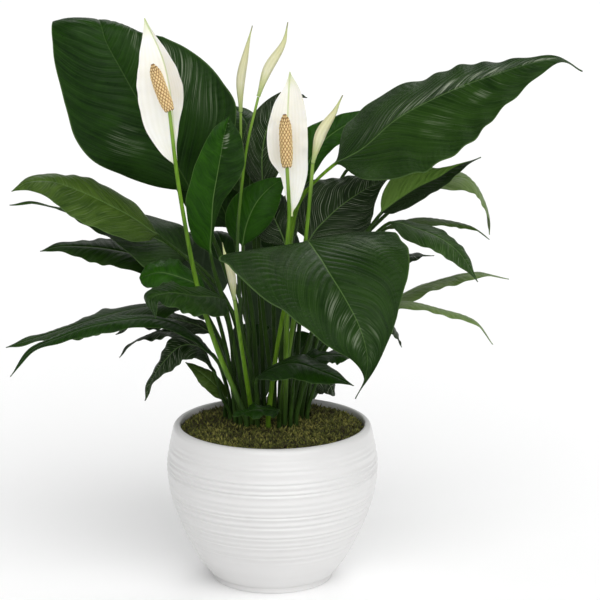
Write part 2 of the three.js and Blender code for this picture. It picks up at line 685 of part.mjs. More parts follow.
function wallInside(z) {
  const neck = mix(SHOULDER_INNER_RADIUS, RIM_INNER_RADIUS, smooth(z, SHOULDER_Z, LIP_Z));
  return Math.min(potRadius(z) - POT_WALL, neck);
}

const floorEdge = wallInside(WALL_Z.at(-1)) - FLOOR_ROUND;

function turned(profile, segments) {
  const geometry = new THREE.LatheGeometry(profile.map(([r, z]) => new THREE.Vector2(r, z)), segments);
  return geometry.rotateX(Math.PI / 2);
}

function potGeometry() {
  const profile = [[0, 0], ...POT_FOOT];
  for (const z of LOW_SIDE_Z) profile.push([potRadius(z), z]);
  const pitch = (RIDGE_LAST_Z - RIDGE_FIRST_Z) / RIDGE_COUNT;
  for (let i = 0; i <= 2 * RIDGE_COUNT; i += 1) {
    const z = RIDGE_FIRST_Z + i * pitch / 2;
    const fade = Math.sqrt(Math.sin(Math.PI * (i + 1) / (2 * RIDGE_COUNT + 2)));
    const relief = (i % 2 === 0 ? -RIDGE_RELIEF : RIDGE_RELIEF) / 2;
    profile.push([potRadius(z) + relief * fade, z]);
  }
  for (const z of HIGH_SIDE_Z) profile.push([potRadius(z), z]);
  profile.push(RIM_ROUND, [RIM_TOP_RADIUS, POT_HEIGHT]);
  profile.push([RIM_INNER_RADIUS + RIM_BEVEL, POT_HEIGHT - RIM_BEVEL]);
  for (const z of WALL_Z) profile.push([wallInside(z), z]);
  profile.push([floorEdge, POT_FLOOR], [0, POT_FLOOR]);
  return turned(profile, POT_SEGMENTS);
}

function toSolid(geometry) {
  const bare = geometry.clone();
  bare.deleteAttribute('normal');
  bare.deleteAttribute('uv');
  const merged = mergeVertices(bare, WELD_DISTANCE);
  const corners = merged.index.array;
  const faces = [];
  for (let i = 0; i < corners.length; i += 3) {
    const [a, b, c] = [corners[i], corners[i + 1], corners[i + 2]];
    if (a !== b && b !== c && c !== a) faces.push(a, b, c);
  }
  const vertProperties = new Float32Array(merged.attributes.position.array);
  return new wasm.Manifold(new wasm.Mesh({ numProp: 3, vertProperties, triVerts: new Uint32Array(faces) }));
}

function toGeometry(solid) {
  const mesh = solid.getMesh();
  const geometry = new THREE.BufferGeometry();
  geometry.setAttribute('position', new THREE.BufferAttribute(new Float32Array(mesh.vertProperties), 3));
  geometry.setIndex([...mesh.triVerts]);
  geometry.computeVertexNormals();
  return geometry;
}

function upright(radius, low, high, sides, x, y) {
  const geometry = new THREE.CylinderGeometry(radius, radius, high - low, sides);
  return geometry.rotateX(Math.PI / 2).translate(x, y, (low + high) / 2);
}

// the soil fills the pot and rises round the stems, each of which has a seat sunk in it
function soilGeometry() {
  const profile = [[0, POT_FLOOR + GAP], [floorEdge - GAP, POT_FLOOR + GAP]];
  for (const z of WALL_Z.slice(1).reverse()) profile.push([wallInside(z) - GAP, z]);
  profile.push([wallInside(SOIL_EDGE_Z) - GAP, SOIL_EDGE_Z]);
  profile.push([0, SOIL_EDGE_Z]);
  const edge = CLUMP_RADIUS - GAP;
  const rise = [[0, CLUMP_ROOT_Z], [edge, CLUMP_ROOT_Z], [edge, CLUMP_EDGE_Z]];
  rise.push([edge - CLUMP_SHOULDER, CLUMP_TOP_Z], [0, CLUMP_TOP_Z]);
  let soil = toSolid(turned(profile, POT_SEGMENTS));
  soil = soil.add(toSolid(turned(rise, CLUMP_SIDES).translate(CLUMP_X, CLUMP_Y, 0)));
  const leafSeats = Object.values(LEAVES).map((leaf) => [leaf.seat, STALK_FOOT_RADIUS]);
  const flowerSeats = Object.values({ ...FLOWERS, ...BUDS })
    .map((flower) => [flower.seat, FLOWER_STEM_RADIUS]);
  for (const [seat, radius] of [...leafSeats, ...flowerSeats]) {
    const reach = (radius + GAP) / Math.cos(Math.PI / SEAT_SIDES);
    const hole = upright(reach, SEAT_BOTTOM_Z - GAP, STEM_UPRIGHT_Z, SEAT_SIDES, ...seatPlace(seat));
    soil = soil.subtract(toSolid(hole));
  }
  return toGeometry(soil);
}

// a cushion of moss from the stems out to the pot's wall
function mossGeometry() {
  const low = SOIL_EDGE_Z + GAP;
  const edge = wallInside(MOSS_EDGE_Z) - GAP;
  const profile = [[0, low], [wallInside(low) - GAP, low], [edge, MOSS_EDGE_Z]];
  for (let i = MOSS_RINGS - 1; i >= 0; i -= 1) {
    const share = i / MOSS_RINGS;
    profile.push([edge * share, mix(MOSS_CROWN_Z, MOSS_EDGE_Z, share ** 2)]);
  }
  const cushion = turned(profile, POT_SEGMENTS);
  const place = cushion.attributes.position;
  for (let i = 0; i < place.count; i += 1) {
    const [x, y, z] = [place.getX(i), place.getY(i), place.getZ(i)];
    const hump = Math.sin(MOSS_WAVE_X * x + MOSS_WAVE_START) * Math.cos(MOSS_WAVE_Y * y + MOSS_WAVE_SKEW * x);
    if (z > MOSS_EDGE_Z) place.setZ(i, z + MOSS_BUMP * hump);
  }
  const opening = upright(CLUMP_RADIUS, POT_FLOOR, POT_HEIGHT, CLUMP_SIDES, CLUMP_X, CLUMP_Y);
  return toGeometry(toSolid(cushion).subtract(toSolid(opening)));
}

// ---------------------------------------------------------------- assembly

const lily = new THREE.Group();

function addPiece(name, geometry, material) {
  const piece = new THREE.Mesh(geometry, material);
  piece.name = name;
  lily.add(piece);
}

addPiece('pot', potGeometry(), glaze);
addPiece('soil', soilGeometry(), soilMatter);
addPiece('moss', mossGeometry(), mossMatter);

for (const [name, leaf] of Object.entries(LEAVES)) addPiece(name, leafGeometry(leaf), leafGreen);

for (const [name, flower] of Object.entries(FLOWERS)) {
  addPiece(`${name}_stem`, flowerStem([...seatPoints(flower.seat), ...flower.stem]), stemGreen);
  addPiece(`${name}_spathe`, spatheGeometry(flower.spathe), spatheWhite);
  addPiece(`${name}_spadix`, spadixGeometry(flower.spadix), spadixCream);
}

for (const [name, bud] of Object.entries(BUDS)) {
  addPiece(`${name}_stem`, flowerStem([...seatPoints(bud.seat), ...bud.stem]), stemGreen);
  addPiece(`${name}_spathe`, rollGeometry(bud), spatheWhite);
}

export default lily;
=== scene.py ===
"""The looks of a potted peace lily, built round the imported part.

Every piece is drawn in millimetres in the part's own frame and scaled to metres as its mesh
is made. The viewer's side faces -Y.
"""

import math

import bpy
import numpy as np
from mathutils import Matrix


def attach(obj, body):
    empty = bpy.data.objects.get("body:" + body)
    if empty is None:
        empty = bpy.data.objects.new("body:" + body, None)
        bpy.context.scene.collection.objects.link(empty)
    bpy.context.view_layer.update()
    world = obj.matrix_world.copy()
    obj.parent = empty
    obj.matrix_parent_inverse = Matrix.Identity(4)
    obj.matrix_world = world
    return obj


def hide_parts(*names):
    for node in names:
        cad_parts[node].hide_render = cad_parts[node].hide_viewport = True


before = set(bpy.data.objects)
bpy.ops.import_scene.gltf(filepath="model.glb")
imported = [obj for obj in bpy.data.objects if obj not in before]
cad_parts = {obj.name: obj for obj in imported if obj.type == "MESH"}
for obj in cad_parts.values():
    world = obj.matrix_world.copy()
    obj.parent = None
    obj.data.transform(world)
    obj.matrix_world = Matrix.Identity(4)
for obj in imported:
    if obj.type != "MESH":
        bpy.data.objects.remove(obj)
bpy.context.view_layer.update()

MM = 0.001
SEED = 11

# ---------------------------------------------------------------- the pot's measures

POT_HEIGHT = 160.0
POT_WALL = 7.5
POT_FLOOR = 8.0
POT_SEGMENTS = 224
RIM_INNER_RADIUS = 92.0
# (radius, height) points: the foot from the middle out, the side, and the rim's two faces
FOOT_PROFILE = [(0, 0), (50, 0), (58.6, 0), (60.2, 0.4), (59.8, 5), (60.2, 6.2)]
POT_SIDE = [
    (64.0, 8), (76.1, 25), (86.3, 45), (94.9, 65), (101.1, 85),
    (105.0, 105), (105.0, 125), (101.7, 145), (99.6, 155),
]
RIM_OUTSIDE = [(99.1, 156.6), (98.2, 158.0), (97.1, 159.2), (95.8, 159.9)]
RIM_INSIDE = [(94.0, POT_HEIGHT), (93.0, 159.8), (92.4, 159.0), (92.1, 157.5)]
RIDGE_FIRST_Z = 36.0
RIDGE_LAST_Z = 150.0
RIDGE_COUNT = 20
RIDGE_RELIEF = 0.55
RIDGE_RISES_Z = (28.0, 58.0)
RIDGE_ENDS_Z = (136.0, 153.0)

SOIL_EDGE_Z = 147.0
MOSS_EDGE_Z = 154.0
MOSS_CROWN_Z = 157.0
SPRIG_COUNT = 11000

CLUMP_X = -4.0
CLUMP_Y = 25.0
CLUMP_RADIUS = 50.0
STEM_PITCH = 11.0
STEM_ROW = 9.5
SEAT_BOTTOM_Z = 139.0
SEAT_TOP_Z = 158.0
STEM_UPRIGHT_Z = 165.0

# ---------------------------------------------------------------- the plant's measures

STALK_FOOT_RADIUS = 2.8
STALK_NECK_RADIUS = 1.7
FLOWER_STEM_RADIUS = 2.8
TIP_HALF_WIDTH = 0.5
NECK_SHARE = 0.06
FOLD_LIMIT = 2.3
BUD_GAP = 0.7

# What a blade is like where its own entry doesn't say otherwise. fold and arch raise and round
# its halves. ripple and waves are the height and number of its long waves, frill and frills
# those of the small waves at its edge. rise and taper, or the half widths left and right at
# even steps from neck to tip, give its outline, and lean makes it lopsided. vein_pitch and
# slant place its side veins, and quilt is how far it swells between them. sheath is how far
# its stalk spreads below the neck, and sheath_turn is the way it spreads, in degrees. other is
# the tone of its right half, where that differs, which paints that half in shade, and bright
# gives its stalk the painted lit green in place of the painted shaded one. shines are patches
# of painted sheen: the place along and across, the reach along and across, and the strength.
BLADE = dict(
    fold=0.1, arch=0.3, ripple=2.5, waves=2.5, phase=0.0, rise=0.7, taper=1.1, lean=0.0,
    neck_radius=STALK_NECK_RADIUS, thickness=0.6, tone="mid", frill=1.0, frills=7.0,
    vein_pitch=8.0, quilt=0.5, slant=0.62, sheath=0.2, sheath_turn=0, other=None, bright=False,
    shines=(),
)
BIG = dict(ripple=6.0, frill=1.4, quilt=0.9, vein_pitch=11.0)
BACK = dict(ripple=6.0, frill=1.4, quilt=0.6, vein_pitch=10.0)
SPATHE = dict(fold=0.35, arch=0.0, ripple=1.0, frill=0.5, quilt=0.0)

LEAVES = {
    "leaf_01": dict(BIG, seat=(-1, 2), stalk=[(-42, 43, 290)],
        rib=[(-78, 38, 383), (-104, 36, 431), (-126, 36, 469), (-150, 40, 512), (-162, 43, 534),
             (-170, 45, 554), (-184, 47, 591), (-197, 48, 623)],
        face=(0.05, -0.98, 0.2), width=150, ripple=1.5, frill=0.8, quilt=1.0,
        shines=[(0.45, 0.66, 0.30, 0.30, 0.5), (0.30, -0.45, 0.08, 0.30, 0.35)],
        left=(0, 29, 52, 69, 73, 67, 60, 51, 42, 25, 0),
        right=(0, 58, 81, 82, 78, 66, 47, 36, 28, 16, 0),
        fold_over=dict(z=540, y=50, radius=12), tone="deep"),
    "leaf_02": dict(BIG, seat=(1, -1), stalk=[(17, 4, 330), (27, -4, 385)],
        rib=[(59, -10, 422), (88, -12, 440), (119, -15, 468), (150, -20, 487), (204, -26, 511),
             (276, -32, 530), (298, -35, 519)],
        face=(0, -0.5, 0.87), width=130, waves=3.5, ripple=1.5, frill=1.6, frills=9.0,
        neck_fold=0.0, fold=-0.28, arch=0.05, quilt=1.1, slant=0.78,
        shines=[(0.60, -0.20, 0.60, 0.26, 0.75), (0.42, 0.45, 0.08, 0.25, 0.25),
                (0.62, 0.35, 0.08, 0.16, 0.25)],
        left=(0, 52, 67, 67, 60, 52, 42, 29, 15, 5, 1),
        right=(0, 42, 63, 68, 65, 59, 49, 33, 18, 6, 1),
        sheath=2.0, sheath_turn=80, bright=True),
    "leaf_03": dict(BIG, seat=(0, -4), stalk=[(2, -18, 220), (14, -27, 290)],
        rib=[(33, -36, 352), (44, -60, 346), (56, -90, 333), (71, -114, 313), (84, -131, 290),
             (91, -139, 264), (89, -143, 243), (80, -144, 224)],
        face=(0.2, -0.6, 0.8), width=176, fold=0.2, arch=0.1, ripple=2.0, frill=0.8,
        left=(0, 74, 83, 83, 77, 64, 47, 30, 12, 3, 0.5),
        right=(0, 93, 93, 88, 79, 67, 53, 37, 17, 2, 0.5),
        quilt=1.6, vein_pitch=10.0, slant=0.72, tone="broad", bright=True,
        shines=[(0.62, 0.22, 0.24, 0.34, 0.34), (0.72, -0.35, 0.20, 0.28, 0.16),
                (0.08, -0.50, 0.25, 0.45, 0.2)]),
    "leaf_04": dict(BIG, seat=(-3, 0), stalk=[(-46, 32, 260), (-76, 28, 312)],
        rib=[(-112, 12, 348), (-137, -2, 370), (-160, -12, 385), (-177, -18, 395),
             (-195, -24, 404), (-214, -29, 411), (-235, -34, 411), (-251, -38, 403)],
        face=(0, -0.42, 0.9), width=79, lean=0.28, ripple=1.5, frill=0.7, quilt=1.0, tone="soft"),
    "leaf_05": dict(seat=(-2, 1), stalk=[(-45, 33, 275)],
        rib=[(-80, 36, 318), (-118, 42, 340), (-163, 45, 356), (-212, 46, 369), (-242, 46, 375),
             (-263, 46, 373)],
        face=(0, -0.4, 0.9), width=84, taper=3.0, fold=0.2),
    "leaf_06": dict(seat=(-3, 1), stalk=[(-56, 42, 240)],
        rib=[(-98, 48, 302), (-131, 52, 318), (-164, 58, 325), (-193, 62, 327), (-217, 66, 326),
             (-236, 68, 321)],
        face=(0, -0.45, 0.9), width=43, ripple=1.5),
    "leaf_07": dict(BIG, seat=(-1, -2),
        rib=[(-45, -28, 291), (-74, -62, 305), (-99, -80, 312), (-114, -88, 308),
             (-111, -90, 289)],
        face=(-0.1, -0.45, 0.9), width=62, ripple=2.5),
    "leaf_08": dict(
        seat=(-3, -2), rib=[(-66, -6, 297), (-90, -9, 311), (-112, -9, 316), (-131, -6, 310)],
        face=(0, -0.6, 0.8), width=44, taper=0.5, tone="lit"),
    "leaf_09": dict(seat=(-3, -1),
        rib=[(-77, 27, 274), (-122, 27, 273), (-163, 26, 265), (-213, 25, 249), (-268, 23, 232)],
        face=(0, -0.1, 1), width=60, frill=1.6),
    "leaf_10": dict(BIG, seat=(-3, -3),
        rib=[(-57, -6, 228), (-86, -12, 259), (-115, -26, 273), (-147, -36, 274),
             (-182, -42, 268), (-206, -46, 260), (-234, -50, 248), (-256, -50, 221)],
        face=(0, -0.2, 1), width=32, ripple=1.2, frill=0.8, vein_pitch=7.0, tone="deep"),
    "leaf_11": dict(seat=(2, 0), stalk=[(12, 24, 271)],
        rib=[(13, 26, 335), (4, 32, 358), (-4, 38, 378), (-14, 44, 395)],
        face=(0, -0.9, 0.4), width=46, fold=0.15, slant=0.95, tone="dark"),
    "leaf_12": dict(
        seat=(-3, 2), rib=[(-62, 60, 236), (-100, 68, 250), (-136, 76, 246), (-162, 80, 231)],
        face=(0, -0.3, 1), width=34, tone="dark"),
    "leaf_13": dict(seat=(-4, 1),
        rib=[(-60, 40, 219), (-104, 50, 241), (-135, 55, 233), (-149, 55, 223), (-157, 55, 213)],
        face=(0, -0.1, 1), width=26, tone="dark"),
    "leaf_14": dict(seat=(-4, -1), stalk=[(-50, 12, 182)],
        rib=[(-58, 8, 210), (-72, 10, 235), (-91, 12, 236), (-109, 14, 219), (-122, 15, 199),
             (-129, 15, 178)],
        face=(-0.3, -0.6, 0.7), width=36, rise=0.4, tone="dark"),
    "leaf_15": dict(seat=(-4, 0), rib=[(-47, 21, 177), (-53, 20, 188), (-67, 20, 202), (-87, 20, 217)],
        face=(0.3, -0.7, 0.6), width=21, ripple=1.0, frill=0.4, tone="soft"),
    "leaf_16": dict(BIG, seat=(-2, -2), stalk=[(-44, -2, 270)],
        rib=[(-60, -10, 334), (-59, -12, 360), (-57, -13, 390), (-53, -13, 413), (-49, -12, 435),
             (-45, -8, 456), (-41, -4, 470)],
        face=(0.1, -0.98, 0.1), width=60, ripple=1.0, frill=0.6, fold=0.3, arch=0.1,
        vein_pitch=14.0, shines=[(0.84, 0.12, 0.20, 0.22, 0.45)],
        left=(0, 16, 22, 25, 27, 25, 24, 21, 17, 11, 0.5),
        right=(0, 2, 3, 6, 10, 16, 22, 24, 20, 14, 0.5),
        tone="lit", other="deep"),
    "leaf_17": dict(BACK, seat=(0, 3),
        rib=[(0, 95, 305), (0, 120, 338), (-2, 150, 322), (-4, 174, 258), (-6, 184, 180)],
        face=(0, 0.6, 0.8), width=64, taper=0.6, tone="deep"),
    "leaf_18": dict(seat=(-1, 0), rib=[(-29, 20, 336), (-24, 20, 362), (-14, 21, 382), (0, 25, 396),
                           (16, 30, 405)],
        face=(-0.2, -0.95, 0.2), width=46, lean=-0.3, ripple=1.0, frill=0.4, tone="lit"),
    "leaf_19": dict(seat=(0, 1), stalk=[(-14, 52, 320)],
        rib=[(-10, 56, 386), (-10, 60, 423), (-4, 64, 450), (10, 70, 471), (23, 74, 480),
             (35, 76, 477)],
        face=(0.1, -0.85, 0.5), width=42, slant=0.95, tone="dark"),
    "leaf_20": dict(
        seat=(-1, 3), rib=[(-23, 78, 374), (-23, 93, 414), (-27, 113, 444), (-42, 143, 459)],
        face=(0, -0.8, 0.6), width=64),
    "leaf_21": dict(
        seat=(1, 2), rib=[(28, 88, 378), (36, 92, 406), (50, 97, 427), (76, 104, 445), (114, 114, 458)],
        face=(0.1, -0.85, 0.5), width=40, tone="lit",
        left=(0, 14, 21, 24, 23, 20, 16, 12, 8, 4, 0.5),
        right=(0, 8, 10, 11, 12, 13, 13, 11, 8, 4, 0.5)),
    "leaf_22": dict(BIG, seat=(2, 1), rib=[(36, 36, 336), (58, 48, 362), (86, 58, 382), (120, 70, 399)],
        face=(0, -0.7, 0.7), width=84, ripple=1.5, vein_pitch=9.0, slant=0.95,
        left=(0, 40, 55, 55, 49, 41, 32, 24, 15, 7, 0.5),
        right=(0, 30, 42, 46, 44, 38, 30, 20, 11, 5, 0.5),
        tone="dark"),
    "leaf_23": dict(BIG, seat=(2, -1),
        rib=[(107, 20, 368), (118, 20, 378), (143, 20, 395), (165, 20, 406), (180, 20, 416),
             (206, 20, 426)],
        face=(0, -0.6, 0.8), width=44, fold=0.2, arch=0.1, ripple=0.8, frill=0.5,
        vein_pitch=8.0, slant=0.95,
        left=(0, 15, 24, 26, 24, 20, 13, 5, 1, 0.5, 0.5),
        right=(0, 12, 16, 18, 18, 17, 15, 12, 9, 4, 0.5),
        tone="bright", other="dark"),
    "leaf_24": dict(seat=(3, 1), stalk=[(60, 45, 296), (118, 58, 364)],
        rib=[(152, 62, 389), (170, 64, 395), (191, 66, 397), (204, 70, 389), (213, 73, 375),
             (219, 76, 357), (221, 76, 336)],
        face=(-0.1, -0.3, 1), width=42, ripple=0.8, frill=0.5, tone="pale"),
    "leaf_25": dict(seat=(2, -2), rib=[(116, 12, 361), (142, 2, 358), (166, -8, 350), (184, -14, 337),
                           (203, -16, 308)],
        face=(0.2, -0.3, 1), width=46, ripple=1.0, frill=0.6, tone="veined"),
    "leaf_26": dict(seat=(3, 0), rib=[(112, 34, 350), (128, 34, 357), (148, 38, 360), (169, 42, 358),
                          (186, 48, 354), (203, 52, 348), (219, 56, 336)],
        face=(0, 0, 1), width=34, ripple=0.6, frill=0.4, tone="soft"),
    "leaf_27": dict(seat=(2, 2), rib=[(84, 70, 300), (130, 85, 311), (165, 90, 312)],
        face=(0, -0.1, 1), width=28, tone="dark"),
    "leaf_28": dict(seat=(3, -1),
        rib=[(88, 30, 255), (131, 30, 283), (163, 30, 297), (203, 30, 306), (237, 30, 301)],
        face=(0, 0.0, 1), width=44, ripple=1.5, frill=0.8, tone="pale"),
    "leaf_29": dict(seat=(2, -3),
        rib=[(82, -18, 281), (128, -27, 290), (165, -32, 284), (199, -37, 273), (217, -40, 251)],
        face=(0, 0.1, 1), width=36, ripple=1.0, frill=0.6, tone="pale"),
    "leaf_30": dict(seat=(3, 2), rib=[(90, 62, 259), (117, 72, 250), (133, 77, 218)],
        face=(0.2, -0.3, 1), width=28, tone="dark"),
    "leaf_31": dict(seat=(-1, -4), rib=[(-14, -38, 216), (4, -46, 230), (24, -56, 236), (52, -65, 229),
                            (80, -72, 218)],
        face=(0, -0.3, 1), width=48, ripple=1.2, frill=0.5, tone="deep"),
    "leaf_32": dict(seat=(2, -4), rib=[(24, -34, 219), (44, -32, 236), (66, -24, 236), (84, -20, 230)],
        face=(0, -0.3, 1), width=32, tone="deep"),
    "leaf_33": dict(seat=(2, 3), rib=[(32, 60, 178), (44, 62, 185), (57, 66, 182), (64, 70, 168)],
        face=(0, -0.9, 0.4), width=26, rise=0.6, taper=0.7, ripple=1.0, tone="dark"),
    "leaf_34": dict(seat=(1, -4), rib=[(6, -32, 181), (-14, -43, 186), (-39, -48, 181)],
        face=(0, -0.3, 1), width=24, tone="deep"),
    "leaf_35": dict(BACK, seat=(-2, 3),
        rib=[(-42, 90, 338), (-62, 102, 378), (-92, 120, 418), (-130, 143, 446),
             (-165, 165, 452)],
        face=(-0.2, -0.6, 0.8), width=64, rise=0.5, tone="deep"),
    "leaf_36": dict(BACK, seat=(1, 3),
        rib=[(74, 105, 395), (120, 125, 430), (167, 145, 450), (213, 165, 440)],
        face=(0.3, 0.3, 0.9), width=80),
    "leaf_37": dict(BACK, seat=(1, 4),
        rib=[(18, 100, 263), (41, 124, 296), (59, 152, 280), (68, 174, 235), (68, 184, 186)],
        face=(0.3, 0.6, 0.8), width=66, taper=0.6, tone="deep"),
    "leaf_38": dict(BACK, seat=(-1, 4),
        rib=[(-46, 95, 300), (-58, 118, 330), (-69, 142, 318), (-75, 158, 272), (-75, 166, 225)],
        face=(-0.1, 0.6, 0.8), width=60, taper=0.7, tone="deep"),
    "leaf_39": dict(BACK, seat=(0, 4),
        rib=[(18, 82, 208), (24, 102, 228), (29, 120, 214), (31, 130, 176), (31, 133, 138)],
        face=(0, 0.6, 0.8), width=50, taper=0.6, tone="deep"),
    "leaf_40": dict(
        seat=(-3, 3), rib=[(-18, 84, 214), (-20, 104, 236), (-21, 122, 222), (-21, 132, 182),
                           (-20, 135, 138)],
        face=(0, 0.6, 0.8), width=48, taper=0.6, ripple=1.5, tone="deep"),
}

FLOWERS = {
    "flower_1": dict(seat=(-2, -4),
        stem=[(-54, -19, 240), (-73, -19, 304), (-87, -30, 387), (-92, -38, 428),
              (-97, -46, 482)],
        spathe=dict(
            rib=[(-92, -32.7, 424), (-94, -30, 461), (-97, -29, 498), (-104, -28, 530),
                 (-121, -25, 568)],
            face=(-0.4, -0.9, 0.1), width=49,
            left=(0, 12.5, 22, 27, 29, 30, 29, 24, 18, 9, 0.5),
            right=(0, 2, 4, 7.5, 13.5, 18, 16, 11, 6.5, 3.5, 0.5),
        ),
        spadix=[(-97, -46, 483), (-105, -47, 504), (-112, -47, 526)]),
    "flower_2": dict(
        seat=(1, -3), stem=[(15, -12, 268), (15, -14, 344), (17, -16, 374), (15, -21, 423)],
        spathe=dict(
            rib=[(19.3, -13.8, 373), (17, -4, 407), (15, -3, 439), (16, -4, 478),
                 (18, -8, 514)],
            face=(0.05, -1, 0.1), width=42,
            left=(0, 3.5, 6, 9, 17, 19.5, 19.5, 17, 13, 4.5, 0.5),
            right=(0, 8.5, 14.5, 18.5, 19.5, 20, 19.5, 18, 15, 9.5, 0.5),
        ),
        spadix=[(15, -21, 424), (14, -22, 450), (13, -23, 474)]),
}

BUDS = {
    "bud_1": dict(seat=(-2, -1), stem=[(-31, 40, 379), (-31, 40, 467)], girth=0.75, lit=(0.78, 0.9),
        roll=[(-31, 40, 499), (-25, 40, 529), (-19, 40, 553)], radius=4.2),
    "bud_2": dict(seat=(-2, 0), stem=[(-34, 2, 341), (-31, 2, 386), (-24, 2, 441), (-13, 2, 488)],
        girth=0.75, lit=(0.62, 0.8),
        roll=[(-4, 2, 515), (12, 2, 542), (16, 2, 561)], radius=4.6),
    "bud_3": dict(seat=(1, -2), stem=[(33, -12, 349), (38, -12, 399), (40, -12, 425)],
        roll=[(48, -12, 455), (61, -12, 476), (69, -12, 492)], radius=5.2),
    "bud_4": dict(seat=(-2, -3), stem=[(-32, -44, 266), (-36, -49, 297)],
        roll=[(-39, -52, 323), (-44, -55, 341), (-47, -57, 356)], radius=3.8),
}

# Leaf greens, painted shaded and lit, and how strongly the painted vein highlight and the rib show.
TONES = {
    "deep": dict(low=(0.003, 0.016, 0.0005), high=(0.012, 0.044, 0.002), vein_highlight=0.04, rib=0.3),
    "mid": dict(low=(0.005, 0.021, 0.001), high=(0.019, 0.053, 0.005), vein_highlight=0.10, rib=0.8),
    "broad": dict(low=(0.004, 0.018, 0.0008), high=(0.015, 0.045, 0.0035), vein_highlight=0.10, rib=0.8),
    "soft": dict(low=(0.022, 0.050, 0.006), high=(0.056, 0.104, 0.014), vein_highlight=0.20, rib=1.0),
    "pale": dict(low=(0.075, 0.135, 0.028), high=(0.175, 0.250, 0.085), vein_highlight=0.25, rib=1.0),
    "lit": dict(low=(0.005, 0.030, 0.0002), high=(0.016, 0.068, 0.001), vein_highlight=0.02, rib=0.8),
    "bright": dict(low=(0.060, 0.140, 0.014), high=(0.150, 0.270, 0.050), vein_highlight=0.05, rib=1.0),
    "veined": dict(low=(0.012, 0.034, 0.005), high=(0.030, 0.074, 0.011), vein_highlight=0.38, rib=1.0),
    "dark": dict(low=(0.004, 0.012, 0.002), high=(0.016, 0.037, 0.007), vein_highlight=0.90, rib=1.0),
}
# The painted highlight colour, for lit vein lines and patches of sheen.
PAINTED_HIGHLIGHT = (0.36, 0.40, 0.30, 1)
RIB_GREEN = (0.130, 0.230, 0.065, 1)
# Stalk greens: painted shade for stalks deep in the clump, and painted light for those out in the
# light.
PETIOLE_SHADED = ((0.010, 0.027, 0.005, 1), (0.045, 0.100, 0.014, 1))
PETIOLE_LIT = ((0.040, 0.105, 0.004, 1), (0.150, 0.300, 0.016, 1))

# The sines below in vein_phase, blade_height, ridges and moss_height only make a shape uneven,
# so their rates and offsets are any numbers that don't fall into step.

# ---------------------------------------------------------------- shared geometry


def mix(a, b, share):
    return a + (b - a) * share


def smooth(x, low, high):
    t = np.clip((x - low) / (high - low), 0, 1)
    return t * t * (3 - 2 * t)


def bell(x, width):
    """1 at 0, falling away on both sides over the width."""
    return np.exp(-((x / width) ** 2))


def unit(v):
    return v / np.linalg.norm(v, axis=-1, keepdims=True)


def square_to(direction, tangent):
    """The part of a direction square to the tangent, at unit length."""
    along = np.sum(direction * tangent, axis=-1, keepdims=True)
    return unit(direction - along * tangent)


def hermite(b, c, start, end, t):
    """The cubic from b to c that leaves and arrives at the given rates, at t from 0 to 1."""
    square = 3 * (c - b) - 2 * start - end
    return b + start * t + square * t**2 + (2 * (b - c) + start + end) * t**3


def catmull_rom(a, b, c, d, t):
    """The even curve from b to c, with a before them and d after them."""
    return hermite(b, c, (c - a) / 2, (d - b) / 2, t)


class Track:
    """A smooth curve through points, run by its length."""

    STEPS = 48
    TANGENT_STEPS = 200

    def __init__(self, points):
        p = np.array(points, float)
        p = np.vstack([2 * p[0] - p[1], p, 2 * p[-1] - p[-2]])
        u = np.linspace(0, 1, self.STEPS + 1)[:, None]
        places = []
        for x0, x1, x2, x3 in zip(p, p[1:], p[2:], p[3:]):
            d0, d1, d2 = (math.sqrt(math.dist(a, b)) for a, b in ((x0, x1), (x1, x2), (x2, x3)))
            start = ((x1 - x0) / d0 - (x2 - x0) / (d0 + d1) + (x2 - x1) / d1) * d1
            end = ((x2 - x1) / d1 - (x3 - x1) / (d1 + d2) + (x3 - x2) / d2) * d1
            places.append(hermite(x1, x2, start, end, u)[:-1])
        self.places = np.vstack([*places, p[-2:-1]])
        steps = np.linalg.norm(np.diff(self.places, axis=0), axis=1)
        self.lengths = np.concatenate([[0], np.cumsum(steps)])
        self.total = self.lengths[-1]

    def length_at(self, index):
        return self.lengths[index * self.STEPS]

    def point(self, length):
        return np.stack([np.interp(length, self.lengths, c) for c in self.places.T], axis=-1)

    def tangent(self, length):
        reach = self.total / self.TANGENT_STEPS
        after = self.point(np.minimum(length + reach, self.total))
        return unit(after - self.point(np.maximum(length - reach, 0)))


def seat_place(seat):
    column, row = seat
    stagger = STEM_PITCH / 2 if row % 2 else 0
    return CLUMP_X + column * STEM_PITCH + stagger, CLUMP_Y + row * STEM_ROW


def seat_points(seat):
    x, y = seat_place(seat)
    return [(x, y, z) for z in (SEAT_BOTTOM_Z, SEAT_TOP_Z, STEM_UPRIGHT_Z)]


def make_piece(name, points, faces, material, replaced, fields=None, sharp=60):
    """A mesh piece that stands for a node of the part."""
    mesh = bpy.data.meshes.new(name)
    mesh.from_pydata((np.asarray(points) * MM).tolist(), [], [list(map(int, f)) for f in faces])
    mesh.polygons.foreach_set("use_smooth", np.ones(len(mesh.polygons), bool))
    mesh.set_sharp_from_angle(angle=math.radians(sharp))
    for key, values in (fields or {}).items():
        values = np.asarray(values, np.float32)
        is_vector = values.ndim == 2
        field = mesh.attributes.new(key, "FLOAT_VECTOR" if is_vector else "FLOAT", "POINT")
        field.data.foreach_set("vector" if is_vector else "value", values.ravel())
    mesh.materials.append(material)
    mesh.update()
    piece = bpy.data.objects.new(name, mesh)
    bpy.context.scene.collection.objects.link(piece)
    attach(piece, "root")
    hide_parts(replaced)
    return piece


def ring_quads(rings, count, closed=False):
    """Quads between neighbouring rings of equal count, and back to the first where closed."""
    here = np.arange(count)
    beside = (here + 1) % count
    quads = []
    for i in range(rings if closed else rings - 1):
        low, high = i * count, (i + 1) % rings * count
        quads.append(np.stack([low + here, high + here, high + beside, low + beside], axis=1))
    return np.vstack(quads)


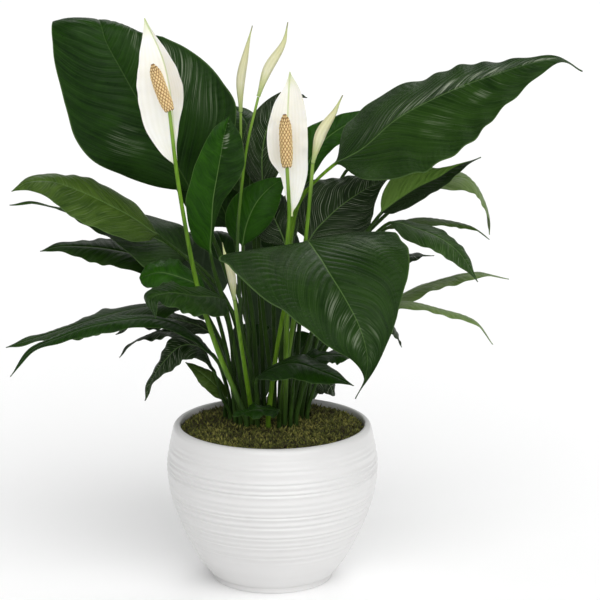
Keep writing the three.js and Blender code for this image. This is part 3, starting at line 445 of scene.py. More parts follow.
def loft_faces(rings, count):
    """Quads between rings, and flat ends across the two halves of the first and last ring."""
    faces = ring_quads(rings, count).tolist()
    last = (rings - 1) * count
    for k in range(count // 2 - 1):
        low, high = k, count - 1 - k
        faces.append([low, low + 1, high - 1, high])
        faces.append([last + low, last + high, last + high - 1, last + low + 1])
    return faces


# ---------------------------------------------------------------- blades and stalks

COLUMN_PITCH = 2.2
ROW_PITCH = 1.4
COLUMN_RANGE = (8, 38)
ROW_RANGE = (30, 210)
STALK_ROWS = 48
MIDDLE_SHARE = 0.45  # where a blade's faces look the way its measures say
FULL_FOLD_SHARE = 0.4
LEFT_WAVE_OFFSET = 0.6 * np.pi
LEFT_FRILL_OFFSET = 2.0
RIGHT_FRILL_OFFSET = 0.3
VEIN_SWEEP = 0.15
STEEPEST_SLANT = 0.5
QUILT_SHARPNESS = 0.7
QUILT_LEVEL = 0.6
QUILT_START = (1.0, 5.0)  # from the midrib
QUILT_END = (0.86, 0.99)  # shares of the half width
RIB_GROOVE = dict(depth=0.5, width=1.1)
KEEL_WIDTH = 1.5
NECK_KEEL_SHARE = 1.6
TIP_KEEL = 0.3
EDGE_THICKNESS_SHARE = 0.45
STALK_GROOVE = dict(depth=0.35, width=0.45, fade=0.06)
SHEATH_START = (-0.5, -0.25)  # shares of the stalk, from -1 at its foot to 0 at its neck
SHEATH_END = (-0.16, -0.03)
SHEATH_CURL = 0.5
USUAL_LEAN = 0.3
USUAL_RISE = 0.55


def outline_at(widths, q):
    """Half widths at even steps from the neck to the tip, read off smoothly."""
    w = np.array([widths[0], *widths, widths[-1]], float)
    place = np.clip(q, 0, 1) * (len(widths) - 1)
    i = np.minimum(place.astype(int), len(widths) - 2)
    return catmull_rom(w[i], w[i + 1], w[i + 2], w[i + 3], place - i)


def half_width(leaf, q, s):
    if "left" in leaf:
        both = np.where(s < 0, outline_at(leaf["left"], q), outline_at(leaf["right"], q))
        return np.maximum(TIP_HALF_WIDTH, both)
    widest = leaf["rise"] / (leaf["rise"] + leaf["taper"])
    outline = (q / widest) ** leaf["rise"] * ((1 - q) / (1 - widest)) ** leaf["taper"]
    return np.maximum(TIP_HALF_WIDTH, leaf["width"] / 2 * outline)


def vein_phase(q, s, count, slant):
    """Counts the side veins, which leave the midrib at a slant and sweep on to the tip."""
    sweep = slant * (np.abs(s) + VEIN_SWEEP * np.abs(s) ** 3)
    wander = 0.18 * np.sin(9 * q + 2.1 * s) + 0.12 * np.sin(23 * q - 3.3 * s)
    return count * (q - sweep) / (1 - sweep) + wander


def quilt_height(phase, across, from_rib):
    """How far the blade swells between its side veins, which is less at the rib and the edge."""
    inner = smooth(from_rib, *QUILT_START) * (1 - smooth(across, *QUILT_END))
    return (np.abs(np.sin(np.pi * phase)) ** QUILT_SHARPNESS - QUILT_LEVEL) * inner


def blade_height(leaf, q, s, half, phase):
    """Height of the upper face over the rib's line: fold, arch, waves, frill and quilting."""
    across = np.abs(s)
    swell = np.sqrt(np.maximum(0, np.sin(np.pi * q)))
    turn = 2 * np.pi * q
    wave = np.sin(leaf["waves"] * turn + leaf["phase"] + np.where(s < 0, LEFT_WAVE_OFFSET, 0))
    offset = np.where(s < 0, LEFT_FRILL_OFFSET, RIGHT_FRILL_OFFSET)
    uneven = 1.3 * np.sin(1.7 * turn)
    frill = np.sin(leaf["frills"] * turn + 1.7 * leaf["phase"] + offset + uneven)
    neck_fold = leaf.get("neck_fold", leaf["fold"])
    fold = mix(neck_fold, leaf["fold"], smooth(q, 0, FULL_FOLD_SHARE))
    height = half * (fold * across - leaf["arch"] * s * s)
    height = height + leaf["ripple"] * s * s * wave * swell
    height = height + leaf["frill"] * across**3 * frill * swell
    return height + leaf["quilt"] * quilt_height(phase, across, across * half) * swell


def blade_rings(leaf, centre, side, up, q, s, radius, length):
    """Lower and upper points of rings, each of which runs under the blade and back over it."""
    q, radius = q[:, None], radius[:, None]
    half = half_width(leaf, q, s)
    flat = smooth(q, 0, NECK_SHARE)
    from_rib = np.abs(s) * half
    slant = min(STEEPEST_SLANT, leaf["slant"] * leaf["width"] / length)
    phase = vein_phase(q, s, length / leaf["vein_pitch"], slant)
    height = blade_height(leaf, q, s, half, phase)
    height = height - RIB_GROOVE["depth"] * bell(from_rib, RIB_GROOVE["width"]) * flat
    thickness = leaf["thickness"] * mix(1.0, EDGE_THICKNESS_SHARE, s * s)
    keel = mix(NECK_KEEL_SHARE * radius, TIP_KEEL, np.sqrt(q)) * bell(from_rib, KEEL_WIDTH)
    angle = np.pi / 2 * (1 - s * (1 - 1 / s.shape[-1]))
    reach = s * half * (1 + leaf["lean"] * s * (1 - 2 * q))

    def place(round_z, blade_z):
        x = mix(radius * np.cos(angle), reach, flat)
        z = mix(round_z, blade_z, flat)
        return centre[:, None] + side[:, None] * x[..., None] + up[:, None] * z[..., None]

    upper = place(radius * np.sin(angle), height)
    lower = place(-radius * np.sin(angle), height - thickness - keel)
    return lower, upper, phase, from_rib


def bend_back(points, z, y, radius):
    """Bends what stands above a height backward, round a level fold behind the blade."""
    rise = points[:, 2] - z
    reach = y + radius - points[:, 1]
    turn = np.minimum(rise / radius, FOLD_LIMIT)
    beyond = rise - turn * radius
    bent = points.copy()
    bent[:, 1] = y + radius - reach * np.cos(turn) + beyond * np.sin(turn)
    bent[:, 2] = z + reach * np.sin(turn) + beyond * np.cos(turn)
    return np.where(rise[:, None] > 0, bent, points)


def column_places(width):
    """Places across a blade from -1 to 1, closer together near the rib."""
    count = int(np.clip(width / COLUMN_PITCH, *COLUMN_RANGE))
    u = np.linspace(-1, 1, 2 * count + 1)
    return u * (0.5 + 0.5 * u * u)


def stalk_frames(track, neck, neck_side):
    """Lengths and side directions down a stalk, carried from the neck without twisting."""
    upright = track.length_at(2)
    free = np.linspace(upright, neck, STALK_ROWS)[:-1]
    lengths = np.concatenate([[0, track.length_at(1)], free])
    sides, last = [], neck_side
    for place in lengths[::-1]:
        last = square_to(last, track.tangent(place))
        sides.append(last)
    return lengths, np.array(sides[::-1])


def shape_stalk(leaf, lower, upper, side, up, s, along, radius):
    """Spreads a stalk into its winged sheath and sinks the groove along its upper side."""
    wing = leaf["sheath"] * smooth(along, *SHEATH_START) * (1 - smooth(along, *SHEATH_END))
    wing = (wing * (along < 0) * radius)[:, None]
    groove = STALK_GROOVE["depth"] * bell(s, STALK_GROOVE["width"])
    groove = groove * (smooth(-along, 0, STALK_GROOVE["fade"]) * radius)[:, None]
    turn = np.radians(leaf["sheath_turn"])
    outward = side * np.cos(turn) + up * np.sin(turn)
    spread = outward[:, None] * (wing * s)[..., None]
    rise = up[:, None] * (wing * SHEATH_CURL * s * s - groove)[..., None]
    return lower + spread, upper + spread + rise


def build_blade(leaf, track, neck, with_stalk):
    """Points, faces and fields of a blade, and of the stalk below it where there is one."""
    length = track.total - neck
    s = column_places(leaf["width"])
    q = np.linspace(0, 1, int(np.clip(length / ROW_PITCH, *ROW_RANGE)))
    across = np.cross(track.tangent(neck + MIDDLE_SHARE * length), leaf["face"])
    tangent = track.tangent(neck + q * length)
    side = square_to(np.broadcast_to(across, tangent.shape), tangent)
    up = np.cross(side, tangent)
    centre = track.point(neck + q * length)
    radius = np.full(len(q), leaf["neck_radius"])
    along = q
    if with_stalk:
        stalk, stalk_side = stalk_frames(track, neck, side[0])
        stalk_up = np.cross(stalk_side, track.tangent(stalk))
        share = stalk / neck
        side, up = np.vstack([stalk_side, side]), np.vstack([stalk_up, up])
        centre = np.vstack([track.point(stalk), centre])
        radius = np.concatenate([mix(STALK_FOOT_RADIUS, leaf["neck_radius"], share), radius])
        q = np.concatenate([np.zeros(len(stalk)), q])
        along = np.concatenate([share - 1, along])
    lower, upper, phase, from_rib = blade_rings(leaf, centre, side, up, q, s, radius, length)
    if with_stalk:
        lower, upper = shape_stalk(leaf, lower, upper, side, up, s, along, radius)

    def round_ring(below, above):
        return np.concatenate([below, above[:, ::-1]], axis=1)

    field = np.stack(np.broadcast_arrays(along[:, None], s, phase), axis=-1)
    points = round_ring(lower, upper)
    under = round_ring(np.ones(phase.shape), np.zeros(phase.shape))
    fields = {
        "blade": round_ring(field, field).reshape(-1, 3),
        "rib": round_ring(from_rib, from_rib).ravel(),
        "under": under.ravel(),
    }
    return points.reshape(-1, 3), loft_faces(*points.shape[:2]), fields


def build_leaf(name, measures):
    leaf = {**BLADE, **measures}
    x, y = seat_place(leaf["seat"])
    neck_x, neck_y, neck_z = leaf["rib"][0]
    usual = (mix(x, neck_x, USUAL_LEAN), mix(y, neck_y, USUAL_LEAN),
             mix(SEAT_TOP_Z, neck_z, USUAL_RISE))
    points = seat_points(leaf["seat"]) + leaf.get("stalk", [usual]) + leaf["rib"]
    track = Track(points)
    neck = track.length_at(len(points) - len(leaf["rib"]))
    points, faces, fields = build_blade(leaf, track, neck, True)
    if "fold_over" in leaf:
        blade = fields["blade"][:, 0] >= 0
        points[blade] = bend_back(points[blade], **leaf["fold_over"])
    make_piece(f"lily_{name}", points, faces, leaf_material(name, leaf), name, fields)


# ---------------------------------------------------------------- stems, buds and flowers

STEM_RINGS = 90
STEM_SIDES = 20
STEM_FLUTES = 3
STEM_FLUTE_DEPTH = 0.12
USUAL_LIT = (0.1, 0.3)  # shares of a stem over which it turns from its painted shaded green to its painted lit green

SPADIX_RADIUS = 6.2
SPADIX_SPAN = 1.9
SPADIX_FOOT = 0.85
SPADIX_END_LEVEL = 0.12
SPADIX_RINGS = 40
SPADIX_SIDES = 32
CORE_DEPTH = 1.2
FLORET_ROWS = 18
FLORETS_ROUND = 11
FLORET_OVERLAP = (1.05, 1.1)  # along the spike and round it
FLORET_ROOT = 1.3
FLORET_STEPS = [(1.0, 0.0), (0.8, 0.75), (0.4, 1.5)]  # share of the full size, and rise
FLORET_HEIGHT = 1.65
FLORET_SIDES = 4
FLORET_TIP_REACH = 1.6  # the rise at which a floret has its full tip colour

BUD_RINGS = 110
BUD_SIDES = 40
BUD_FOOT_SWELL = 0.2
BUD_WIDEST_SHARE = 0.4
BUD_TIP_SHARE = 0.12
BUD_STEP = 0.9
BUD_STEP_START = 1.2
BUD_STEP_TWIST = 2.6
BUD_STEP_WIDTH = 0.06
BUD_STEP_LEVEL = 0.3
BUD_STEP_RISES = (0.04, 0.3)
BUD_STEP_ENDS = (0.75, 1.0)


def build_tube(points, shares, radius, sides, shape=None):
    """A closed tube along points. shape adds to the radius at each ring and angle."""
    track = Track(points)
    side = np.array([1.0, 0, 0])
    angle = np.pi + (np.arange(sides) + 0.5) * 2 * np.pi / sides
    rings = []
    for i, share in enumerate(shares):
        length = share * track.total
        tangent = track.tangent(length)
        side = square_to(side, tangent)
        up = np.cross(side, tangent)
        reach = radius[i] + (shape(share, angle) if shape else 0)
        ring = track.point(length) + np.outer(reach * np.cos(angle), side)
        rings.append(ring + np.outer(reach * np.sin(angle), up))
    field = np.stack(np.broadcast_arrays(shares[:, None], np.cos(angle), angle), axis=-1)
    return np.vstack(rings), loft_faces(len(shares), sides), {"blade": field.reshape(-1, 3)}


def build_stem(name, flower):
    shares = np.linspace(0, 1, STEM_RINGS)
    radius = mix(FLOWER_STEM_RADIUS, STALK_NECK_RADIUS, shares) * flower.get("girth", 1.0)

    def flutes(share, angle):
        return STEM_FLUTE_DEPTH * np.cos(STEM_FLUTES * angle)

    track_points = seat_points(flower["seat"]) + flower["stem"]
    points, faces, fields = build_tube(track_points, shares, radius, STEM_SIDES, flutes)
    fields["lit"] = np.repeat(smooth(shares, *flower.get("lit", USUAL_LIT)), STEM_SIDES)
    make_piece(f"lily_{name}_stem", points, faces, STEM, f"{name}_stem", fields, sharp=80)


def build_spathe(name, measures):
    spathe = {**BLADE, **SPATHE, **measures}
    points, faces, fields = build_blade(spathe, Track(spathe["rib"]), 0.0, False)
    make_piece(f"lily_{name}_spathe", points, faces, SPATHE_WHITE, f"{name}_spathe",
               fields)


def spadix_radius(share):
    """Blunt at both ends, where the radius falls off as the fourth power."""
    place = SPADIX_SPAN * share - SPADIX_FOOT
    return SPADIX_RADIUS * np.sqrt(np.maximum(SPADIX_END_LEVEL, 1 - place**4))


def floret(foot, out, along, round_way, pitch, wide):
    """Points of one floret: square rings that narrow outward, then its peak."""
    corner = 2 * np.pi * np.arange(FLORET_SIDES) / FLORET_SIDES
    rings = []
    for size, rise in FLORET_STEPS:
        spread = np.outer(np.cos(corner) * pitch * size, along)
        spread = foot + out * rise + spread
        rings.append(spread + np.outer(np.sin(corner) * wide * size, round_way))
    return np.vstack([*rings, foot + out * FLORET_HEIGHT])


def floret_faces():
    rings = len(FLORET_STEPS)
    faces = ring_quads(rings, FLORET_SIDES)[:, [0, 3, 2, 1]].tolist()
    last = (rings - 1) * FLORET_SIDES
    for j in range(FLORET_SIDES):
        faces.append([last + j, last + (j + 1) % FLORET_SIDES, last + FLORET_SIDES])
    return [*faces, list(range(FLORET_SIDES))[::-1]]


def build_spadix(name, points):
    """A blunt spike covered with small four-sided florets in slanting rows."""
    shares = np.linspace(0, 1, SPADIX_RINGS)
    core_radius = spadix_radius(shares) - CORE_DEPTH
    core, faces, _ = build_tube(points, shares, core_radius, SPADIX_SIDES)
    track = Track(points)
    side = np.array([1.0, 0, 0])
    pitch = track.total / FLORET_ROWS * FLORET_OVERLAP[0]
    florets, shape = [], floret_faces()
    for row in range(FLORET_ROWS):
        share = (row + 0.5) / FLORET_ROWS
        tangent = track.tangent(share * track.total)
        side = square_to(side, tangent)
        up = np.cross(side, tangent)
        radius = spadix_radius(share)
        wide = np.pi * radius / FLORETS_ROUND * FLORET_OVERLAP[1]
        for k in range(FLORETS_ROUND):
            angle = 2 * np.pi * (k + 0.5 * (row % 2)) / FLORETS_ROUND
            out = math.cos(angle) * side + math.sin(angle) * up
            foot = track.point(share * track.total) + out * (radius - FLORET_ROOT)
            florets.append(floret(foot, out, tangent, np.cross(tangent, out), pitch, wide))
    size = len(florets[0])
    for number in range(len(florets)):
        start = len(core) + number * size
        faces += [[start + corner for corner in face] for face in shape]
    levels = [rise / FLORET_TIP_REACH for _, rise in FLORET_STEPS]
    tips = np.append(np.repeat(levels, FLORET_SIDES), 1.0)
    tips = np.concatenate([np.zeros(len(core)), np.tile(tips, len(florets))])
    make_piece(f"lily_{name}_spadix", np.vstack([core, *florets]), faces, SPADIX,
               f"{name}_spadix", {"tip": tips}, sharp=180)


def build_roll(name, bud):
    """A spathe still rolled up: its free edge winds round the spindle as a low step."""
    start = np.array(bud["stem"][-1], float)
    first = start + unit(np.array(bud["roll"][0]) - start) * BUD_GAP
    shares = np.linspace(0, 1, BUD_RINGS)
    swell = smooth(shares, 0, BUD_WIDEST_SHARE)
    radius = mix(STALK_NECK_RADIUS + BUD_FOOT_SWELL, bud["radius"], swell)
    radius = radius * mix(1, BUD_TIP_SHARE, smooth(shares, BUD_WIDEST_SHARE, 1))

    def overlap(share, angle):
        wound = angle - np.pi - BUD_STEP_START - BUD_STEP_TWIST * share
        wound = wound % (2 * np.pi) / (2 * np.pi)
        step = BUD_STEP * smooth(share, *BUD_STEP_RISES) * (1 - smooth(share, *BUD_STEP_ENDS))
        return step * (smooth(wound, 0, BUD_STEP_WIDTH) * (1 - wound) - BUD_STEP_LEVEL)

    track_points = [first.tolist(), *bud["roll"]]
    points, faces, fields = build_tube(track_points, shares, radius, BUD_SIDES, overlap)
    make_piece(f"lily_{name}_spathe", points, faces, BUD_WHITE, f"{name}_spathe",
               fields)


# ---------------------------------------------------------------- pot, soil and moss

CURVE_STEPS = 20
SIDE_ROWS = 260
SIDE_Z = (8, 155)
WALL_Z = (154, 148, 140, 125, 105, 90, 70, 50, 30, 14)
SHOULDER_INNER_RADIUS = 97.5
SHOULDER_Z = (125, 155)
FLOOR_ROUND = 8

MOSS_RINGS = 46
MOSS_SIDES = 180
MOSS_SEAM = 0.3  # between the cushion and the wall
SPRIG_SEAM = 0.2  # between the sprigs and the wall
MOSS_BOTTOM_Z = SOIL_EDGE_Z + 0.6
CLUMP_TOP_Z = 156.8
CLUMP_SHARE = 0.94  # how far in under the stems the cushion starts
SPRIG_ROOT = 0.8
SPRIG_CLEARANCE = 4.6  # from a stem's middle
SPRIG_LEAN = (0.35, 1.4)
SPRIG_LENGTH = (3.0, 8.0)
SPRIG_GIRTH = (0.32, 0.75)
SPRIG_MIDDLE = 0.55  # share of the length at which a sprig bends and is thickest
SPRIG_SWELL = 1.25
LOW_BEND, HIGH_BEND = 0.7, 1.3  # shares of its lean below and above the middle
EDGE_BAND = 5
EDGE_LENGTH_SHARE = 0.7
SPRIG_SIDES = 3
SPRIG_TIP_FIELD = [0, 0, 0, 0.6, 0.6, 0.6, 1.0]
UPWARD = np.array([0, 0, 1.0])


def pot_curve():
    """The pot's side as a fine row of (radius, height) points."""
    p = np.array([POT_SIDE[0], *POT_SIDE, POT_SIDE[-1]], float)
    t = np.linspace(0, 1, CURVE_STEPS + 1)[:-1, None]
    rows = [catmull_rom(*four, t) for four in zip(p, p[1:], p[2:], p[3:])]
    return np.vstack([*rows, p[-1:]])


SIDE = pot_curve()


def pot_radius(z):
    return np.interp(z, SIDE[:, 1], SIDE[:, 0])


def wall_inside(z):
    shoulder = mix(SHOULDER_INNER_RADIUS, RIM_INNER_RADIUS, smooth(z, *SHOULDER_Z))
    return np.minimum(pot_radius(z) - POT_WALL, shoulder)


def ridges(z):
    """Throwing ridges up the pot's side, uneven as a hand leaves them."""
    turns = (z - RIDGE_FIRST_Z) / (RIDGE_LAST_Z - RIDGE_FIRST_Z) * RIDGE_COUNT
    turns = turns + 0.16 * np.sin(1.3 * turns) + 0.1 * np.sin(3.1 * turns + 1)
    depth = 0.75 + 0.25 * np.sin(0.9 * turns + 0.6)
    fade = smooth(z, *RIDGE_RISES_Z) * (1 - smooth(z, *RIDGE_ENDS_Z))
    return RIDGE_RELIEF * depth * fade * np.sin(2 * np.pi * turns)


def build_pot():
    z = np.linspace(*SIDE_Z, SIDE_ROWS)
    outer = FOOT_PROFILE + list(zip(pot_radius(z), z))
    inner = [(float(wall_inside(h)), h) for h in WALL_Z]
    floor_edge = (inner[-1][0] - FLOOR_ROUND, POT_FLOOR)
    profile = np.array([*outer[1:], *RIM_OUTSIDE, *RIM_INSIDE, *inner, floor_edge])
    angle = 2 * np.pi * np.arange(POT_SEGMENTS) / POT_SEGMENTS
    radius, height = profile[:, 0][:, None], profile[:, 1][:, None]
    on_side = (np.arange(len(profile)) < len(outer))[:, None] & (height >= SIDE_Z[0])
    sway = 0.5 * np.sin(angle + 0.7) + 0.3 * np.sin(2 * angle)
    radius = radius + np.where(on_side, ridges(height + sway), 0)
    points = np.stack([radius * np.cos(angle), radius * np.sin(angle), height + 0 * angle], axis=-1)
    rings, count = points.shape[:2]
    faces = ring_quads(rings, count)[:, [0, 3, 2, 1]].tolist()
    top, below, above = (rings - 1) * count, rings * count, rings * count + 1
    for j in range(count):
        beside = (j + 1) % count
        faces.append([below, beside, j])
        faces.append([above, top + j, top + beside])
    points = np.vstack([points.reshape(-1, 3), (0, 0, 0), (0, 0, POT_FLOOR)])
    make_piece("pot_thrown", points, faces, GLAZE, "pot", sharp=70)


def moss_height(x, y):
    """The moss's cushion, with low humps."""
    share = np.minimum(np.hypot(x, y) / wall_inside(MOSS_EDGE_Z), 1)
    hump = 1.5 * np.sin(0.31 * x + 1.3) * np.cos(0.27 * y + 0.4 * x)
    fine = 0.7 * np.sin(0.83 * x + 0.4 * y) * np.sin(0.71 * y - 0.3 * x + 2)
    return mix(MOSS_CROWN_Z, MOSS_EDGE_Z, share**2) + (hump + fine) * (1 - share**8)


def all_seats():
    plants = [*LEAVES.values(), *FLOWERS.values(), *BUDS.values()]
    return np.array([seat_place(plant["seat"]) for plant in plants])


def moss_cushion(edge):
    """A closed ring of moss from under the stems out to the wall."""
    angle = 2 * np.pi * np.arange(MOSS_SIDES) / MOSS_SIDES
    ray = np.stack([np.cos(angle), np.sin(angle)], axis=-1)
    inner = np.array([CLUMP_X, CLUMP_Y]) + ray * (CLUMP_RADIUS * CLUMP_SHARE)
    outer_angle = np.arctan2(inner[:, 1], inner[:, 0])
    outer = edge * np.stack([np.cos(outer_angle), np.sin(outer_angle)], axis=-1)
    flat = mix(inner, outer, np.linspace(0, 1, MOSS_RINGS)[:, None, None])
    top = np.concatenate([flat, moss_height(flat[..., 0], flat[..., 1])[..., None]], axis=-1)
    low = top[::-1].copy()
    low[..., 2] = MOSS_BOTTOM_Z
    body = np.concatenate([top, low]).reshape(-1, 3)
    return body, ring_quads(2 * MOSS_RINGS, MOSS_SIDES, closed=True).tolist()


def sprig_places(rng, edge):
    """Scattered places on the moss that are clear of the stems."""
    seats = all_seats()
    reach = np.sqrt(rng.random(SPRIG_COUNT)) * (edge - 1.0)
    turn = rng.random(SPRIG_COUNT) * 2 * np.pi
    x, y = reach * np.cos(turn), reach * np.sin(turn)
    near = np.hypot(x[:, None] - seats[:, 0], y[:, None] - seats[:, 1]).min(axis=1)
    keep = near > SPRIG_CLEARANCE
    return x[keep], y[keep], reach[keep]


def moss_sprigs(rng, edge):
    """Points of every sprig: a ring at its root, a wider one where it bends, and its tip."""
    x, y, reach = sprig_places(rng, edge)
    count = len(x)
    on_clump = np.hypot(x - CLUMP_X, y - CLUMP_Y) < CLUMP_RADIUS
    z = np.where(on_clump, CLUMP_TOP_Z, moss_height(x, y)) - SPRIG_ROOT
    heading = rng.random(count) * 2 * np.pi
    lean = rng.uniform(*SPRIG_LEAN, count)
    length = rng.uniform(*SPRIG_LENGTH, count)
    length = length * np.where(reach > edge - EDGE_BAND, EDGE_LENGTH_SHARE, 1)
    girth = rng.uniform(*SPRIG_GIRTH, count)
    way = np.stack([np.cos(heading), np.sin(heading), np.zeros(count)], axis=-1)
    cross = np.stack([-way[:, 1], way[:, 0], np.zeros(count)], axis=-1)

    def step(share, bend):
        angle = (lean * bend)[:, None]
        return (length * share)[:, None] * (way * np.sin(angle) + UPWARD * np.cos(angle))

    foot = np.stack([x, y, z], axis=-1)
    middle = foot + step(SPRIG_MIDDLE, LOW_BEND)
    tip = middle + step(1 - SPRIG_MIDDLE, HIGH_BEND)
    corner = (2 * np.pi * np.arange(SPRIG_SIDES) / SPRIG_SIDES)[:, None]
    spread = np.cos(corner) * way[:, None] + np.sin(corner) * cross[:, None]
    spread = spread * girth[:, None, None]
    root_ring = foot[:, None] + spread
    middle_ring = middle[:, None] + spread * SPRIG_SWELL
    return np.concatenate([root_ring, middle_ring, tip[:, None]], axis=1)


def sprig_faces(start):
    quads, points = [], []
    for j in range(SPRIG_SIDES):
        k = (j + 1) % SPRIG_SIDES
        low, high = start + SPRIG_SIDES, start + 2 * SPRIG_SIDES
        quads.append(np.stack([start + j, start + k, low + k, low + j], axis=1))
        points.append(np.stack([low + j, low + k, high], axis=1))
    points.append(np.stack([start + 2, start + 1, start], axis=1))
    return np.vstack(quads).tolist() + np.vstack(points).tolist()


def build_moss():
    """A cushion round the stems, covered with short curved sprigs."""
    rng = np.random.default_rng(SEED)
    edge = float(wall_inside(MOSS_EDGE_Z)) - MOSS_SEAM
    body, faces = moss_cushion(edge)
    sprigs = moss_sprigs(rng, edge)
    count, size = sprigs.shape[:2]
    faces += sprig_faces(len(body) + size * np.arange(count))
    bare = np.zeros(len(body))
    tint = np.concatenate([bare, np.repeat(rng.random(count), size)])
    tips = np.concatenate([bare, np.tile(SPRIG_TIP_FIELD, count)])
    points = np.vstack([body, sprigs.reshape(-1, 3)])
    inside = np.hypot(points[:, 0], points[:, 1])
    pull = np.minimum(1, (wall_inside(points[:, 2]) - SPRIG_SEAM) / np.maximum(inside, 1e-6))
    points[:, :2] *= pull[:, None]
    fields = {"tint": tint, "tip": tips}
    make_piece("moss_cover", points, faces, MOSS, "moss", fields, sharp=180)


# ---------------------------------------------------------------- materials

SPATHE_STOPS = [(0.3, (0.93, 0.90, 0.80)), (0.7, (0.98, 0.965, 0.90))]
SPATHE_LINE = (0.70, 0.68, 0.50, 1)
SPATHE_RIB = (0.42, 0.56, 0.16, 1)
SPATHE_END = (0.50, 0.60, 0.24, 1)
BUD_STOPS = [
    (0.0, (0.26, 0.40, 0.10)), (0.16, (0.52, 0.56, 0.26)), (0.34, (0.74, 0.72, 0.50)),
    (0.72, (0.64, 0.62, 0.36)), (0.9, (0.46, 0.52, 0.22)), (1.0, (0.16, 0.17, 0.08)),
]
BUD_LINE = (0.46, 0.50, 0.22, 1)
# Cream floret tips and tan sides, with painted shade in dark brown between the florets.
SPADIX_STOPS = [(0.1, (0.10, 0.04, 0.01)), (0.55, (0.34, 0.18, 0.05)), (0.95, (0.80, 0.60, 0.30))]
GLAZE_STOPS = [(0.3, (0.67, 0.665, 0.66)), (0.7, (0.73, 0.725, 0.72))]
MOSS_STOPS = [
    (0.25, (0.040, 0.024, 0.008)), (0.42, (0.060, 0.062, 0.010)),
    (0.60, (0.140, 0.158, 0.022)), (0.78, (0.380, 0.350, 0.090)),
]
MOSS_SHADE = (0.014, 0.013, 0.005, 1)
SOIL_STOPS = [(0.3, (0.010, 0.007, 0.004)), (0.7, (0.045, 0.030, 0.016))]
FLOOR_WHITE = (0.98, 0.98, 0.98, 1)
STEM_TOP = (0.26, 0.40, 0.08, 1)
LOW_AT, HIGH_AT = 0.38, 0.60  # where a leaf's pattern turns to its shaded and its lit green
SIDE_VEIN_WIDTH = 0.16
FINE_VEIN_WIDTH = 0.4
FINE_VEINS = 3  # for each side vein
FINE_VEIN_SHARE = 0.6
STREAKS_PER_VEIN = 8.0
UNDER_GREY = 0.12


class Shader:
    """A material and short ways to add its nodes."""

    def __init__(self, name):
        self.material = bpy.data.materials.new(name)
        self.material.use_nodes = True
        self.tree = self.material.node_tree
        self.surface = self.tree.nodes["Principled BSDF"]

    def put(self, socket, value):
        if isinstance(value, bpy.types.NodeSocket):
            self.tree.links.new(value, socket)
        else:
            socket.default_value = value

    def node(self, kind, inputs=None, **settings):
        made = self.tree.nodes.new(kind)
        for key, value in settings.items():
            setattr(made, key, value)
        for key, value in (inputs or {}).items():
            self.put(made.inputs[key], value)
        return made

    def math(self, operation, a, b=0.0, c=0.0):
        return self.node("ShaderNodeMath", {0: a, 1: b, 2: c}, operation=operation).outputs[0]

    def times(self, a, b):
        return self.math("MULTIPLY", a, b)

    def around(self, value, base, swing):
        """A base with a share of the value added."""
        return self.math("MULTIPLY_ADD", value, swing, base)

    def total(self, first, *others):
        """The sum of (value, weight) pairs."""
        made = self.times(*first)
        for value, weight in others:
            made = self.math("MULTIPLY_ADD", value, weight, made)
        return made

    def field(self, name):
        return self.node("ShaderNodeAttribute", attribute_name=name).outputs["Fac"]

    def blade(self):
        """The place along, the place across and the vein phase or angle."""
        field = self.node("ShaderNodeAttribute", attribute_name="blade").outputs["Vector"]
        return self.node("ShaderNodeSeparateXYZ", {0: field}).outputs

    def place(self):
        return self.node("ShaderNodeTexCoord").outputs["Object"]

    def stretched(self, rise):
        """The place with its height scaled, which draws a pattern out or presses it flat."""
        inputs = {"Vector": self.place(), "Scale": (1, 1, rise)}
        return self.node("ShaderNodeMapping", inputs).outputs[0]

    def spread(self, value, low, high, start=0.0, end=1.0):
        return self.node("ShaderNodeMapRange", {0: value, 1: low, 2: high, 3: start, 4: end},
                         interpolation_type="SMOOTHSTEP").outputs[0]

    def noise(self, scale, detail=3.0, place=None, distortion=0.0):
        inputs = {"Scale": scale, "Detail": detail, "Distortion": distortion}
        inputs["Vector"] = place or self.place()
        return self.node("ShaderNodeTexNoise", inputs).outputs[0]

    def ramp(self, value, stops):
        made = self.node("ShaderNodeValToRGB", {0: value})
        ramp = made.color_ramp
        while len(ramp.elements) < len(stops):
            ramp.elements.new(0.5)
        for element, (place, colour) in zip(ramp.elements, stops):
            element.position = place
            element.color = (*colour[:3], 1)
        return made.outputs[0]

    def blend(self, share, a, b):
        made = self.node("ShaderNodeMix", {0: share, 6: a, 7: b}, data_type="RGBA")
        return made.outputs[2]

    def bump(self, height, distance, strength):
        inputs = {"Height": height, "Distance": distance, "Strength": strength}
        self.put(self.surface.inputs["Normal"], self.node("ShaderNodeBump", inputs).outputs[0])

    def finish(self, **values):
        for key, value in values.items():
            self.put(self.surface.inputs[key.replace("_", " ")], value)
        return self.material


def vein_line(shader, phase, width):
    """1 on a side vein and 0 between them."""
    wave = shader.math("ABSOLUTE", shader.math("SINE", shader.times(phase, math.pi)))
    return shader.spread(wave, width, 0.0)


def along_veins(shader, phase, across, pace, run, start):
    """Noise drawn out along the side veins."""
    place = {0: shader.times(phase, pace), 1: shader.times(across, run), 2: start}
    return shader.noise(1.0, 2, shader.node("ShaderNodeCombineXYZ", place).outputs[0])


def petiole_colour(shader, pair):
    streaks = shader.noise(420, 2, shader.stretched(0.06))
    value = shader.total((streaks, 0.6), (shader.noise(14, 2), 0.5))
    return shader.ramp(value, [(0.35, pair[0]), (0.75, pair[1])])


def tone_colour(shader, value, name):
    tone = TONES[name]
    return shader.ramp(value, [(LOW_AT, tone["low"]), (HIGH_AT, tone["high"])])


